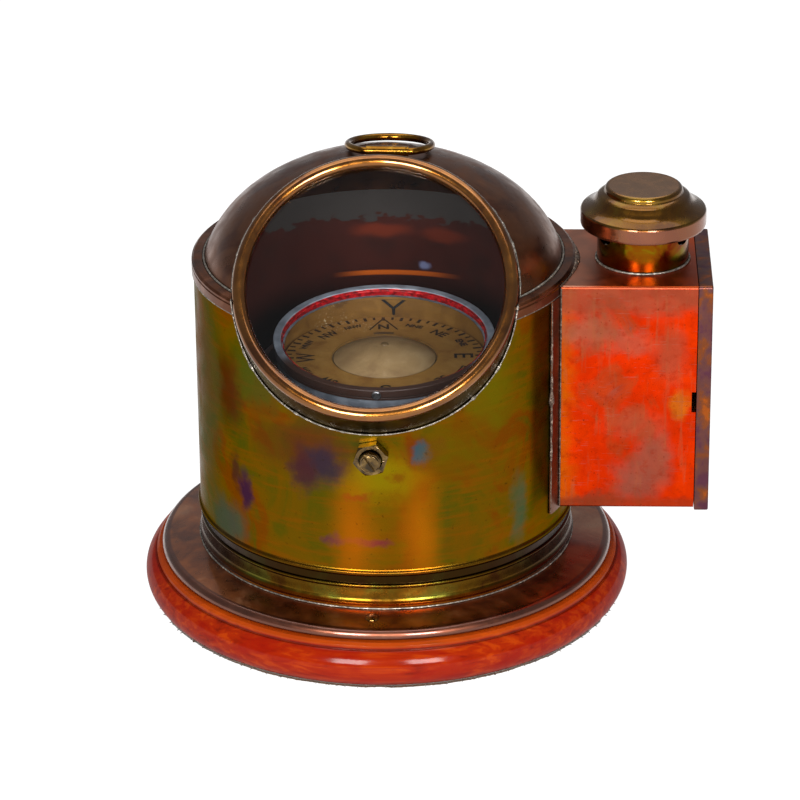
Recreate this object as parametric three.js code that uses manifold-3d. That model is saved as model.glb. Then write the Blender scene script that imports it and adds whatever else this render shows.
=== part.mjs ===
// Binnacle compass: a brass and copper cover with a sloping round window stands on a
// turned wooden base, holds a compass bowl in a gimbal, and carries an oil lamp box.
// Millimetres, +Z up. The origin is the centre of the underside, the window faces -Y
// and the lamp box points to +X.

import * as THREE from 'three';
import { mergeVertices } from 'three/addons/utils/BufferGeometryUtils.js';
import Module from 'manifold-3d';

const wasm = await Module();
wasm.setup();

// ---------------------------------------------------------------- driving dimensions

const GAP = 0.3;                 // clearance kept between touching pieces
const BIG = 40;                  // segments round the large turned pieces
const MEDIUM = 28;
const SMALL = 16;
const TINY = 10;

const BAIZE_R = 127;
const BAIZE_T = 1.2;
const WOOD_TOP = 24.6;
const WOOD_NOSE_R = 11.8;        // radius of the bullnose moulding
const WOOD_NOSE_CENTRE = [118.85, 11];
const SKIRT_R = 121.3;
const SKIRT_BOTTOM = 24.9;
const SKIRT_TOP = 32.3;
const SKIRT_SHEET = 2;
const COLLAR_R = 99.2;
const COLLAR_BOTTOM = 32.6;
const SHOULDER_Z = 50.7;         // ledge of the base collar that the cover stands on
const SPIGOT_R = 97.4;
const SPIGOT_TOP = 57;
const BASE_SCREW_R = 108.2;      // circle of the three base screws
const BASE_SCREW_Z = 31.2;
const BASE_SCREWS = 3;

const BODY_R = 100;
const BODY_WALL = 1.4;
const BODY_BOTTOM = 51;
const BODY_TOP = 190;
const BAND_BOTTOM = 184.4;
const BAND_R = 100.95;
const DOME_R = 96.2;             // half axes of the dome's elliptic section
const DOME_H = 66.4;
const DOME_CENTRE_Z = 177.8;
const DOME_FOOT_Z = 190.4;
const DOME_WALL = 1.3;
const DOME_STEPS = 7;

const WINDOW_Y = -60.7;          // centre of the window bezel
const WINDOW_Z = 197.3;
const WINDOW_TILT = 44.65;       // degrees that the window's normal rises above level
const BEZEL_MEAN_R = 69.9;
const BEZEL_TUBE_R = 3.74;
const WINDOW_TUBE_R = 73.3;
const WINDOW_TUBE_WALL = 1.5;
const WINDOW_TUBE_INSET = 6;     // depth that the window's collar reaches inside the cover
const GLASS_T = 2.8;

const CARRY_X = 2.4;             // the ring sits a little to the lamp's side of the middle
const CARRY_Y = 3;               // hinge line of the carrying ring
const CARRY_Z = 247.25;
const CARRY_BARREL_R = 2.7;
const CARRY_BARREL_HALF = 11.1;
const CARRY_WIRE_R = 2;
const CARRY_MEAN_R = 21.85;
const CARRY_DROOP = 10;          // degrees below level when the ring lies back

const PIVOT_Z = 120;             // height where both gimbal axes cross
const GIMBAL_IN = 64.8;
const GIMBAL_OUT = 68.2;
const GIMBAL_HALF_H = 6;
const PIN_R = 2.4;
const NUT_AF = 16;
const NUT_T = 5.5;
const PIVOT_SCREW_R = 5.6;

const BOWL_LEAN = 5.1;           // degrees that the bowl leans forward at rest
const BOWL_R = 57;
const BOWL_WALL = 1.7;
const BOWL_BOTTOM = -41;         // heights in the bowl are counted from the gimbal axes
const BOWL_LIP = 19.6;
const BOWL_RING_R = 59;
const BOWL_RING_TOP = 24.25;
const BOWL_GLASS_R = 54.4;

const CARD_Z = 131;
const CARD_R = 53.2;
const CARD_T = 0.8;
const FLOAT_R = 27.5;
const FLOAT_RISE = 7.5;

const LAMP_YAW = 2;              // degrees that the lamp box is soldered out of square
const LAMP_HALF_Y = 40.15;
const LAMP_BOTTOM = 62.6;
const LAMP_TOP = 189.2;
const LAMP_END_X = 164;
const LAMP_SHEET = 1.2;
const LAMP_FOOT_R = 101.4;       // cylinder that the box's plates are trimmed to
const DOOR_DEPTH = 7.4;
const CHIMNEY_X = 136.1;
const CHIMNEY_R = 24;
const CHIMNEY_WALL = 1.2;
const CHIMNEY_TOP = 217.5;
const CAP_R = 32.95;
const CAP_BOTTOM = 208.8;
const CAP_TOP = 230;
const HINGE_X = 164.2;
const HINGE_Y = 43.4;
const KNUCKLE_R = 2.6;
const PIN_BORE_R = 1.5;
const HINGE_Z = [88, 108, 138, 158];   // where the hinge's three knuckles start and end
const LAMP_FLOOR = 60.9;         // the lamp's own heights are counted with its foot here
const LAMP_LIFT = LAMP_BOTTOM + LAMP_SHEET + GAP - LAMP_FLOOR;
const WICK_Z = 97;               // height of the wick spindle
const WICK_TUBE_R = 5.5;

// ---------------------------------------------------------------------- solid helpers

const rad = THREE.MathUtils.degToRad;

function solid(geometry) {
  // A merged, outward-facing Manifold of one closed geometry.
  const bare = geometry.index ? geometry.toNonIndexed() : geometry.clone();
  bare.deleteAttribute('normal');
  bare.deleteAttribute('uv');
  const merged = mergeVertices(bare, 1e-4);
  const corners = merged.index.array;
  const places = merged.attributes.position.array;
  const kept = [];
  let volume = 0;
  const a = new THREE.Vector3();
  const b = new THREE.Vector3();
  const c = new THREE.Vector3();
  for (let i = 0; i < corners.length; i += 3) {
    const [p, q, r] = [corners[i], corners[i + 1], corners[i + 2]];
    if (p === q || q === r || r === p) continue;
    kept.push([p, q, r]);
    a.fromArray(places, 3 * p);
    b.fromArray(places, 3 * q);
    c.fromArray(places, 3 * r);
    volume += a.dot(b.cross(c));
  }
  const ordered = volume < 0 ? kept.map(([p, q, r]) => [p, r, q]) : kept;
  return new wasm.Manifold(new wasm.Mesh({
    numProp: 3,
    vertProperties: new Float32Array(places),
    triVerts: new Uint32Array(ordered.flat()),
  }));
}

function geometryOf(manifold) {
  const mesh = manifold.getMesh();
  const geometry = new THREE.BufferGeometry();
  geometry.setAttribute('position', new THREE.BufferAttribute(new Float32Array(mesh.vertProperties), 3));
  geometry.setIndex(new THREE.BufferAttribute(new Uint32Array(mesh.triVerts), 1));
  geometry.computeVertexNormals();
  return geometry;
}

function arc(centre, radius, from, to, steps) {
  // Points on an arc of a section, in [radius, height], angles in degrees.
  const points = [];
  for (let i = 0; i <= steps; i += 1) {
    const angle = rad(from + (to - from) * i / steps);
    points.push([centre[0] + radius * Math.cos(angle), centre[1] + radius * Math.sin(angle)]);
  }
  return points;
}

function turned(points, segments) {
  // A section of [radius, height] points turned round Z.
  const section = points.map(([r, z]) => new THREE.Vector2(Math.max(r, 0), z));
  return solid(new THREE.LatheGeometry(section, segments).rotateX(Math.PI / 2));
}

function turnedRing(points, segments) {
  return turned([...points, points[0]], segments);
}

function pipe(outer, inner, low, high, segments) {
  return turnedRing([[inner, low], [outer, low], [outer, high], [inner, high]], segments);
}

function rod(radius, low, high, segments) {
  return turned([[0, low], [radius, low], [radius, high], [0, high]], segments);
}

function block(low, high) {
  const size = high.map((value, i) => value - low[i]);
  const middle = high.map((value, i) => (value + low[i]) / 2);
  return solid(new THREE.BoxGeometry(...size).translate(...middle));
}

function placed(manifold, matrix) {
  return manifold.transform(matrix.elements);
}

function moved(manifold, x, y, z) {
  return placed(manifold, new THREE.Matrix4().makeTranslation(x, y, z));
}

function alongY(manifold) {
  // A piece turned round Z is laid down so that its +Z end points to -Y.
  return placed(manifold, new THREE.Matrix4().makeRotationX(Math.PI / 2));
}

function alongX(manifold) {
  // A piece turned round Z is laid down so that its +Z end points to +X.
  return placed(manifold, new THREE.Matrix4().makeRotationY(Math.PI / 2));
}

function aboutZ(manifold, degrees) {
  return placed(manifold, new THREE.Matrix4().makeRotationZ(rad(degrees)));
}

// Window frame: its +Z is the window's outward normal, its origin the bezel's centre.
const windowFrame = new THREE.Matrix4()
  .makeTranslation(0, WINDOW_Y, WINDOW_Z)
  .multiply(new THREE.Matrix4().makeRotationX(rad(90 - WINDOW_TILT)));

// Bowl frame: origin where the gimbal axes cross, leaning forward with the bowl.
const bowlFrame = new THREE.Matrix4()
  .makeTranslation(0, 0, PIVOT_Z)
  .multiply(new THREE.Matrix4().makeRotationX(rad(BOWL_LEAN)));

// ------------------------------------------------------------------------- materials

function finish(color, roughness, metalness, extra = {}) {
  return { color, roughness, metalness, ...extra };
}

const BAIZE = finish(0x2b2a22, 0.95, 0);
const MAHOGANY = finish(0x9a3412, 0.28, 0);
const BRONZE = finish(0x5a3a22, 0.34, 0.9);
const BRASS = finish(0x8a7a24, 0.3, 1);
const COPPER = finish(0x5b3a2c, 0.4, 0.9);
const RED_COPPER = finish(0xb4431b, 0.34, 0.85);
const POLISHED = finish(0xa8752f, 0.2, 1);
const GLASS = finish(0xdfe6e4, 0.05, 0, { transparent: true, opacity: 0.3 });
const GREY_PAINT = finish(0x6c7379, 0.5, 0.1);
const CREAM = finish(0xb48a4c, 0.6, 0);
const RED_PUTTY = finish(0xa0201c, 0.5, 0);
const STEEL = finish(0x77777a, 0.35, 0.9);
const LEAD = finish(0x55585c, 0.6, 0.6);
const COTTON = finish(0xd8cfb8, 0.95, 0);

const binnacle = new THREE.Group();

function add(name, manifold, look, parent = binnacle) {
  const mesh = new THREE.Mesh(geometryOf(manifold), new THREE.MeshStandardMaterial(look));
  mesh.name = name;
  parent.add(mesh);
}

// ------------------------------------------------------------------------------ base

function screwSection(clearance) {
  const head = 3.4 + clearance;
  const shank = 1.9 + clearance;
  return [[0, -11 - clearance], [shank, -11 - clearance], [shank, -2], [head, 0],
    [head, clearance], [0, clearance]];
}

function baseScrewSpots() {
  return Array.from({ length: BASE_SCREWS }, (_, i) => -90 + i * 360 / BASE_SCREWS);
}

function atScrewSpot(manifold, degrees) {
  return aboutZ(moved(manifold, BASE_SCREW_R, 0, BASE_SCREW_Z), degrees);
}

function withoutScrewHoles(manifold) {
  const cutter = screwSection(GAP);
  cutter[4][1] = 5;
  cutter[5][1] = 5;
  let result = manifold;
  for (const spot of baseScrewSpots()) {
    result = result.subtract(atScrewSpot(turned(cutter, TINY), spot));
  }
  return result;
}

function makeBase() {
  add('baize_pad', rod(BAIZE_R, 0, BAIZE_T, BIG), BAIZE);

  const wood = turned([
    [0, BAIZE_T + GAP],
    ...arc(WOOD_NOSE_CENTRE, WOOD_NOSE_R, -53, 57, 6),
    [124.5, 21.6],
    [123.6, 23.6],
    [121.6, WOOD_TOP],
    [0, WOOD_TOP],
  ], BIG);
  add('wood_base', withoutScrewHoles(wood), MAHOGANY);

  const skirt = turnedRing([
    [94, SKIRT_TOP],
    [94, SKIRT_TOP - SKIRT_SHEET],
    [100, SKIRT_TOP - SKIRT_SHEET],
    [116, 27.6],
    [119, SKIRT_BOTTOM],
    [SKIRT_R - 0.5, SKIRT_BOTTOM],
    [SKIRT_R, 25.6],
    [120.6, 27.9],
    [117.2, 29.6],
    [100.4, SKIRT_TOP],
  ], BIG);
  add('base_skirt', withoutScrewHoles(skirt), BRONZE);

  const collar = turnedRing([
    [95.9, COLLAR_BOTTOM],
    [100.2, COLLAR_BOTTOM],
    [100.2, 33.8],
    [COLLAR_R, 36.4],
    [COLLAR_R, 43.6],
    [COLLAR_R + 0.7, 44.3],
    [COLLAR_R + 0.2, 45.6],
    [98.6, 46],
    [98.6, SHOULDER_Z],
    [SPIGOT_R, SHOULDER_Z],
    [SPIGOT_R, SPIGOT_TOP],
    [95.9, SPIGOT_TOP],
  ], BIG);
  add('base_collar', collar, BRONZE);

  baseScrewSpots().forEach((spot, i) => {
    const slot = block([-4, -0.5, -0.9], [4, 0.5, 1]);
    const screw = turned(screwSection(0), TINY).subtract(aboutZ(slot, 30 * i));
    add(`base_screw_${i + 1}`, atScrewSpot(screw, spot), BRASS);
  });
}

// ----------------------------------------------------------------------------- cover

function domeSection(grow, foot, steps) {
  // The dome's elliptic outline from its foot up to the axis.
  const a = DOME_R + grow;
  const h = DOME_H + grow;
  const start = Math.asin((foot - DOME_CENTRE_Z) / h);
  const points = [];
  for (let i = 0; i <= steps; i += 1) {
    const angle = start + (Math.PI / 2 - start) * i / steps;
    points.push([i === steps ? 0 : a * Math.cos(angle), DOME_CENTRE_Z + h * Math.sin(angle)]);
  }
  return points;
}

function coverCore(depth) {
  // The space inside the cover, as far in from its outer surface as the depth says.
  const wallTop = 186;
  return turned([
    [0, BODY_BOTTOM - 5],
    [BODY_R - depth, BODY_BOTTOM - 5],
    [BODY_R - depth, wallTop],
    ...domeSection(-depth, wallTop + 0.2, DOME_STEPS),
  ], BIG);
}

function windowHole() {
  const radius = BEZEL_MEAN_R + BEZEL_TUBE_R + GAP;
  return placed(rod(radius, -45, 40, BIG), windowFrame);
}

function lampPort() {
  return aboutZ(block([80, -17, 141], [115, 17, 169]), LAMP_YAW);
}

function pivotHoles(radius) {
  return moved(alongY(rod(radius, -120, 120, TINY)), 0, 0, PIVOT_Z);
}

function makeCover() {
  const shell = turnedRing([
    [BODY_R - BODY_WALL, BODY_BOTTOM],
    [BODY_R + 0.5, BODY_BOTTOM],
    [BODY_R + 1.2, 52],
    [BODY_R + 1.2, 53.4],
    [BODY_R, 54.6],
    [BODY_R, BODY_TOP],
    [BODY_R - BODY_WALL, BODY_TOP],
  ], BIG);
  const opened = shell.subtract(windowHole()).subtract(lampPort()).subtract(pivotHoles(5.3));
  add('body_shell', opened, BRASS);

  const band = turnedRing([
    [BODY_R + GAP, BAND_BOTTOM],
    [BAND_R, BAND_BOTTOM],
    [BAND_R, 189],
    [BAND_R - 0.5, 189.4],
    [BAND_R, 189.9],
    [BAND_R, 190.8],
    [BAND_R - 1.2, 191.8],
    [95.3, 192.2],
    [95.3, BODY_TOP + GAP],
    [BODY_R + GAP, BODY_TOP + GAP],
  ], BIG);
  add('rim_band', band.subtract(windowHole()), COPPER);

  const inner = domeSection(-DOME_WALL, DOME_FOOT_Z, DOME_STEPS).reverse();
  const dome = turned([...inner, ...domeSection(0, DOME_FOOT_Z, DOME_STEPS)], BIG);
  add('hood_dome', dome.subtract(windowHole()), COPPER);
}

function makeWindow() {
  const underBezel = -BEZEL_TUBE_R * Math.sin(rad(25));
  const tube = pipe(WINDOW_TUBE_R, WINDOW_TUBE_R - WINDOW_TUBE_WALL, -45, underBezel - GAP, BIG);
  add('window_collar', placed(tube, windowFrame).subtract(coverCore(WINDOW_TUBE_INSET)), BRASS);

  const bezel = turnedRing(arc([BEZEL_MEAN_R, 0], BEZEL_TUBE_R, -25, 205, 7), BIG);
  add('window_bezel', placed(bezel, windowFrame), POLISHED);

  const glassTop = underBezel - GAP;
  const glassR = WINDOW_TUBE_R - WINDOW_TUBE_WALL - 2 * GAP;
  add('window_glass', placed(rod(glassR, glassTop - GLASS_T, glassTop, BIG), windowFrame), GLASS);

  const clampTop = glassTop - GLASS_T - GAP;
  const clamp = pipe(glassR, glassR - 2.6, clampTop - 2.2, clampTop, BIG);
  add('window_clamp_ring', placed(clamp, windowFrame), BRASS);
}

function carryRingPath() {
  // A round ring whose front is straight where it runs through the hinge barrel.
  const half = CARRY_BARREL_HALF + 1.4;
  const setback = Math.sqrt(CARRY_MEAN_R ** 2 - half ** 2);
  const start = -Math.PI / 2 + Math.asin(half / CARRY_MEAN_R);
  const sweep = 2 * Math.PI - 2 * Math.asin(half / CARRY_MEAN_R);
  const points = [];
  const turns = 26;
  for (let i = 0; i <= turns; i += 1) {
    const angle = start + sweep * i / turns;
    points.push(new THREE.Vector3(
      CARRY_MEAN_R * Math.cos(angle), setback + CARRY_MEAN_R * Math.sin(angle), 0));
  }
  return points;
}

function ringAlong(points, radius, sides) {
  // A closed wire loop in a level plane: one round section at each corner of the loop.
  const count = points.length;
  const places = [];
  const corners = [];
  points.forEach((point, i) => {
    const before = points[(i + count - 1) % count];
    const after = points[(i + 1) % count];
    const travel = new THREE.Vector3().subVectors(after, before).normalize();
    const outward = new THREE.Vector3(travel.y, -travel.x, 0);
    for (let j = 0; j < sides; j += 1) {
      const angle = 2 * Math.PI * (j + 0.5) / sides;
      const reach = radius * Math.cos(angle);
      places.push(point.x + outward.x * reach, point.y + outward.y * reach, radius * Math.sin(angle));
      const here = i * sides + j;
      const beside = i * sides + (j + 1) % sides;
      const next = ((i + 1) % count) * sides;
      corners.push(here, beside, next + j, beside, next + (j + 1) % sides, next + j);
    }
  });
  const geometry = new THREE.BufferGeometry();
  geometry.setAttribute('position', new THREE.BufferAttribute(new Float32Array(places), 3));
  geometry.setIndex(corners);
  return solid(geometry);
}

function makeCarryRing() {
  const barrel = pipe(CARRY_BARREL_R, CARRY_WIRE_R + 0.25, -CARRY_BARREL_HALF, CARRY_BARREL_HALF, TINY);
  add('carry_ring_barrel', moved(alongX(barrel), CARRY_X, CARRY_Y, CARRY_Z), POLISHED);

  const droop = new THREE.Matrix4()
    .makeTranslation(CARRY_X, CARRY_Y, CARRY_Z)
    .multiply(new THREE.Matrix4().makeRotationX(-rad(CARRY_DROOP)));
  add('carry_ring', placed(ringAlong(carryRingPath(), CARRY_WIRE_R, 8), droop), POLISHED);
}

// ---------------------------------------------------------------------------- gimbal

function makePivot(side, name) {
  // A slotted pivot screw and its lock nut; side is -1 for the front, 1 for the rear.
  const nutIn = BODY_R + GAP;
  const screw = turned([
    [0, GIMBAL_IN + 0.6],
    [PIN_R - 0.6, GIMBAL_IN + 0.6],
    [PIN_R, GIMBAL_IN + 1.4],
    [PIN_R, GIMBAL_OUT + 1.4],
    [5, GIMBAL_OUT + 3],
    [5, nutIn + NUT_T],
    [PIVOT_SCREW_R - 0.3, nutIn + NUT_T + 0.4],
    [PIVOT_SCREW_R - 0.3, nutIn + NUT_T + 3.2],
    [PIVOT_SCREW_R - 1.3, nutIn + NUT_T + 4],
    [0, nutIn + NUT_T + 4],
  ], SMALL);
  const slot = block([-8, -0.7, nutIn + NUT_T + 2.4], [8, 0.7, nutIn + NUT_T + 6]);
  const hexagon = aboutZ(rod(NUT_AF / 2 / Math.cos(Math.PI / 6), nutIn + 0.2, nutIn + NUT_T - 0.1, 6), 12);
  const bevel = turned([[0, nutIn - 1], [14, nutIn - 1], [14, nutIn + NUT_T - 3.6],
    [7.6, nutIn + NUT_T], [0, nutIn + NUT_T]], SMALL);
  const nut = hexagon.intersect(bevel).subtract(rod(5 + GAP, 90, 120, SMALL));
  const faces = new THREE.Matrix4()
    .makeTranslation(0, 0, PIVOT_Z)
    .multiply(new THREE.Matrix4().makeRotationZ(side < 0 ? 0 : Math.PI))
    .multiply(new THREE.Matrix4().makeRotationX(Math.PI / 2));
  add(`pivot_screw_${name}`, placed(screw.subtract(aboutZ(slot, 125)), faces), BRASS);
  add(`pivot_nut_${name}`, placed(nut, faces), BRASS);
}

function makeGimbal() {
  const ring = pipe(GIMBAL_OUT, GIMBAL_IN, -GIMBAL_HALF_H, GIMBAL_HALF_H, BIG);
  const hole = rod(PIN_R + 0.25, -80, 80, TINY);
  const bored = ring.subtract(alongX(hole)).subtract(alongY(hole));
  add('gimbal_ring', moved(bored, 0, 0, PIVOT_Z), GREY_PAINT);
}

// ------------------------------------------------------------------------------ bowl

function addToBowl(name, manifold, look) {
  add(name, placed(manifold, bowlFrame), look);
}

function makeBowl() {
  const inside = BOWL_R - BOWL_WALL;
  const shell = turned([
    [0, BOWL_BOTTOM + BOWL_WALL],
    ...arc([inside - 22, -17.3], 22, -90, 0, 4),
    [inside, BOWL_LIP - 1.8],
    [53.2, BOWL_LIP - 1.4],
    [53.2, BOWL_LIP],
    [BOWL_RING_R - 0.4, BOWL_LIP],
    [BOWL_RING_R - 0.4, BOWL_LIP - 1.4],
    [BOWL_R, BOWL_LIP - 1.8],
    ...arc([BOWL_R - 22, BOWL_BOTTOM + 22], 22, 0, -90, 4),
    [0, BOWL_BOTTOM],
  ], MEDIUM);
  addToBowl('bowl_shell', shell, GREY_PAINT);

  const ringIn = BOWL_GLASS_R + 0.4;
  const ringLow = BOWL_LIP + GAP;
  const ring = turnedRing([
    [ringIn, ringLow],
    [BOWL_RING_R, ringLow],
    [BOWL_RING_R, BOWL_RING_TOP - 0.5],
    [BOWL_RING_R - 0.5, BOWL_RING_TOP],
    [ringIn, BOWL_RING_TOP],
  ], MEDIUM);
  addToBowl('bowl_bezel_ring', ring, GREY_PAINT);

  const glassTop = ringLow + 2.5;
  addToBowl('bowl_glass', rod(BOWL_GLASS_R, ringLow, glassTop, MEDIUM), GLASS);
  const seal = pipe(BOWL_GLASS_R, BOWL_GLASS_R - 1.5, glassTop + GAP, glassTop + 1.3, MEDIUM);
  addToBowl('bowl_seal', seal, RED_PUTTY);
  addToBowl('bowl_ballast', rod(26, BOWL_BOTTOM - 8.3, BOWL_BOTTOM - GAP, SMALL), LEAD);

  const post = turned([[0, -39], [5, -39], [5, -36.5], [1.6, -34.5], [1.6, -1], [0, 1.5]], TINY);
  addToBowl('card_pivot_post', post, BRASS);

  const filler = turned([[0, 0], [2.3, 0], [2.3, 0.7], [1.9, 1], [0, 1]], TINY)
    .subtract(aboutZ(block([-3, -0.3, 0.5], [3, 0.3, 2]), 40));
  const fillerZ = (ringLow + BOWL_RING_TOP) / 2 - 0.3;
  addToBowl('bowl_filler_screw', moved(alongY(filler), 0, -BOWL_RING_R - 0.2, fillerZ), STEEL);

  for (const [side, name] of [[-1, 'left'], [1, 'right']]) {
    const pin = turned([[0, BOWL_R + GAP], [5, BOWL_R + GAP], [5, BOWL_R + 1.8], [PIN_R, BOWL_R + 2.6],
      [PIN_R, GIMBAL_OUT - 1], [0, GIMBAL_OUT - 1]], TINY);
    const turn = new THREE.Matrix4().makeRotationY(side * Math.PI / 2);
    addToBowl(`bowl_pin_${name}`, placed(pin, turn), BRASS);
  }
}

function makeCard() {
  const half = CARD_T / 2;
  const card = pipe(CARD_R, FLOAT_R + GAP, -half, half, BIG);
  add('compass_card', moved(card, 0, 0, CARD_Z), CREAM);

  const capR = (FLOAT_R ** 2 + FLOAT_RISE ** 2) / (2 * FLOAT_RISE);
  const halfAngle = THREE.MathUtils.radToDeg(Math.asin(FLOAT_R / capR));
  const floatBody = turned([
    [0, -5],
    [2.4, -8.5],
    [8, -8.5],
    [FLOAT_R - 4, -3],
    ...arc([0, FLOAT_RISE - capR], capR, 90 - halfAngle, 90, 5),
  ], MEDIUM);
  add('card_float', moved(floatBody, 0, 0, CARD_Z), CREAM);

  for (const [side, name] of [[-1, 'left'], [1, 'right']]) {
    const bar = block([33 * side - 2.5, -30, -4.4], [33 * side + 2.5, 30, -half - GAP]);
    add(`card_magnet_${name}`, moved(bar, 0, 0, CARD_Z), STEEL);
  }
}

// ---------------------------------------------------------------------------- lamp box

const lampGroup = new THREE.Group();
lampGroup.rotation.z = rad(LAMP_YAW);
binnacle.add(lampGroup);

function bodyCylinder(radius) {
  return rod(radius, 40, 200, 2 * BIG);
}

function makeLampBox() {
  const outer = block([80, -LAMP_HALF_Y, LAMP_BOTTOM], [LAMP_END_X, LAMP_HALF_Y, LAMP_TOP]);
  const innerY = LAMP_HALF_Y - LAMP_SHEET;
  const hollow = block([70, -innerY, LAMP_BOTTOM + LAMP_SHEET], [200, innerY, LAMP_TOP - LAMP_SHEET]);
  const flue = moved(rod(CHIMNEY_R - CHIMNEY_WALL, 170, 200, MEDIUM), CHIMNEY_X, 0, 0);
  const notch = block([LAMP_END_X - 2.2, -LAMP_HALF_Y - 1, 118.2], [200, -innerY - 1 + LAMP_SHEET, 129.7]);
  const box = outer.subtract(hollow).subtract(bodyCylinder(LAMP_FOOT_R)).subtract(flue).subtract(notch);
  add('lamp_box', box, RED_COPPER, lampGroup);

  const sheet = pipe(BODY_R + 1.1, BODY_R + GAP, LAMP_BOTTOM - 0.4, 183.9, 2 * BIG)
    .intersect(block([70, -48, 0], [120, 48, 200]))
    .subtract(block([70, -37, 65.8], [120, 37, 181]));
  add('lamp_box_flange', sheet, RED_COPPER, lampGroup);

  const frame = block([96, -24, 134], [108, 24, 176])
    .subtract(bodyCylinder(LAMP_FOOT_R))
    .subtract(block([90, -17, 141], [120, 17, 169]))
    .subtract(block([104.3, -20.5, 137.5], [120, 20.5, 172.5]));
  add('light_port_frame', frame, BRASS, lampGroup);
  add('light_port_glass', block([104.6, -20.2, 137.8], [106.6, 20.2, 172.2]), GLASS, lampGroup);
}

function knuckle(low, high) {
  return moved(rod(KNUCKLE_R, low, high, TINY), HINGE_X, HINGE_Y, 0);
}

function makeDoor() {
  const startX = LAMP_END_X + 0.4;
  const endX = startX + DOOR_DEPTH;
  const half = LAMP_HALF_Y + 0.4;
  const low = LAMP_BOTTOM - 1.5;
  const high = LAMP_TOP + 0.4;
  const tray = block([startX, -half, low], [endX, half, high]).subtract(block(
    [startX - 2, -half + LAMP_SHEET, low + LAMP_SHEET],
    [endX - LAMP_SHEET, half - LAMP_SHEET, high - LAMP_SHEET]));
  add('lamp_door', tray, RED_COPPER, lampGroup);

  // Two knuckles on the box and one between them on the door, on one pin.
  const [bottom, lower, upper, top] = HINGE_Z;
  const play = 0.2;
  const bore = moved(rod(PIN_BORE_R, bottom - 1, top + 1, TINY), HINGE_X, HINGE_Y, 0);
  const leafIn = LAMP_HALF_Y + GAP;
  const leafOut = leafIn + 1;
  const boxLeaf = block([150, leafIn, bottom], [161.6, leafOut, top])
    .add(block([160, leafIn, bottom], [163, leafOut, lower - play]))
    .add(block([160, leafIn, upper + play], [163, leafOut, top]))
    .add(knuckle(bottom, lower - play))
    .add(knuckle(upper + play, top))
    .subtract(bore);
  add('hinge_leaf_box', boxLeaf, BRASS, lampGroup);

  const doorLeaf = block([HINGE_X + 1, half + GAP, lower + play], [endX - 1, half + 1.3, upper - play])
    .add(knuckle(lower + play, upper - play))
    .subtract(bore);
  add('hinge_leaf_door', doorLeaf, BRASS, lampGroup);

  const pin = turned([
    [0, bottom - 1.4],
    [2.2, bottom - 1.4],
    [2.2, bottom - 0.4],
    [1.2, bottom - 0.4],
    [1.2, top + 0.4],
    [2.2, top + 0.4],
    [2.2, top + 1.4],
    [0, top + 1.4],
  ], TINY);
  add('hinge_pin', moved(pin, HINGE_X, HINGE_Y, 0), BRASS, lampGroup);
}

function makeChimney() {
  let collar = pipe(CHIMNEY_R, CHIMNEY_R - CHIMNEY_WALL, LAMP_TOP + GAP, CHIMNEY_TOP, MEDIUM);
  for (const side of [-60, 60, 120, 240]) {
    const vent = alongX(rod(1, 10, 40, SMALL)).scale([1, 5.5, 3]);
    collar = collar.subtract(aboutZ(moved(vent, 0, 0, 204.6), side - 90));
  }
  add('chimney_collar', moved(collar, CHIMNEY_X, 0, 0), RED_COPPER, lampGroup);

  const cap = turned([
    [0, CAP_TOP],
    [18.4, CAP_TOP - 0.1],
    [19.8, CAP_TOP - 0.9],
    [20.5, CAP_TOP - 2.4],
    [20.6, CAP_TOP - 3.2],
    [22.3, CAP_TOP - 4],
    [23.8, CAP_TOP - 4.8],
    [24.8, CAP_TOP - 6],
    [25.6, CAP_TOP - 7.4],
    [26.8, CAP_TOP - 8.8],
    [28.8, CAP_TOP - 10.3],
    [32.2, CAP_TOP - 12.2],
    [CAP_R, CAP_TOP - 13.1],
    [CAP_R, CAP_BOTTOM + 1.8],
    [CAP_R - 0.9, CAP_BOTTOM],
    [CAP_R - 1.8, CAP_BOTTOM + 0.4],
    [CAP_R - 1.3, CAP_BOTTOM + 2],
    [CAP_R - 1.3, CAP_TOP - 14],
    [28, CAP_TOP - 11.8],
    [25.6, CAP_TOP - 10.4],
    [22.2, CAP_TOP - 10.4],
    [22.2, CAP_BOTTOM + 2],
    [21.2, CAP_BOTTOM + 2],
    [21.2, CAP_TOP - 5],
    [18.6, CAP_TOP - 1.8],
    [0, CAP_TOP - 1.4],
  ], MEDIUM);
  add('chimney_cap', moved(cap, CHIMNEY_X, 0, 0), POLISHED, lampGroup);
}

function makeLamp() {
  const font = turned([
    [0, LAMP_FLOOR],
    [22, LAMP_FLOOR],
    [22, 78],
    [18, 82.5],
    [9, 85],
    [9, 88],
    [WICK_TUBE_R, 88],
    [WICK_TUBE_R, 64],
    [0, 64],
  ], SMALL);
  add('lamp_font', moved(font, CHIMNEY_X, 0, LAMP_LIFT), BRASS, lampGroup);

  const burner = turnedRing([
    [WICK_TUBE_R, 88.3],
    [11, 88.3],
    [11, 91],
    [7.5, 93],
    [7.5, 104],
    [WICK_TUBE_R, 106],
  ], SMALL).subtract(moved(alongX(rod(1.3, 0, 20, TINY)), 0, 0, WICK_Z));
  add('lamp_burner', moved(burner, CHIMNEY_X, 0, LAMP_LIFT), BRASS, lampGroup);

  const wick = block([-1.1, -4, 66], [1.1, 4, 108]);
  add('lamp_wick', moved(wick, CHIMNEY_X, 0, LAMP_LIFT), COTTON, lampGroup);
  const knob = turned([
    [0, 1.6],
    [1, 1.6],
    [1, 14],
    [5.5, 14],
    [6, 14.6],
    [6, 16.4],
    [5.5, 17],
    [0, 17],
  ], TINY);
  add('wick_knob', moved(alongX(knob), CHIMNEY_X, 0, WICK_Z + LAMP_LIFT), BRASS, lampGroup);
}

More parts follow.
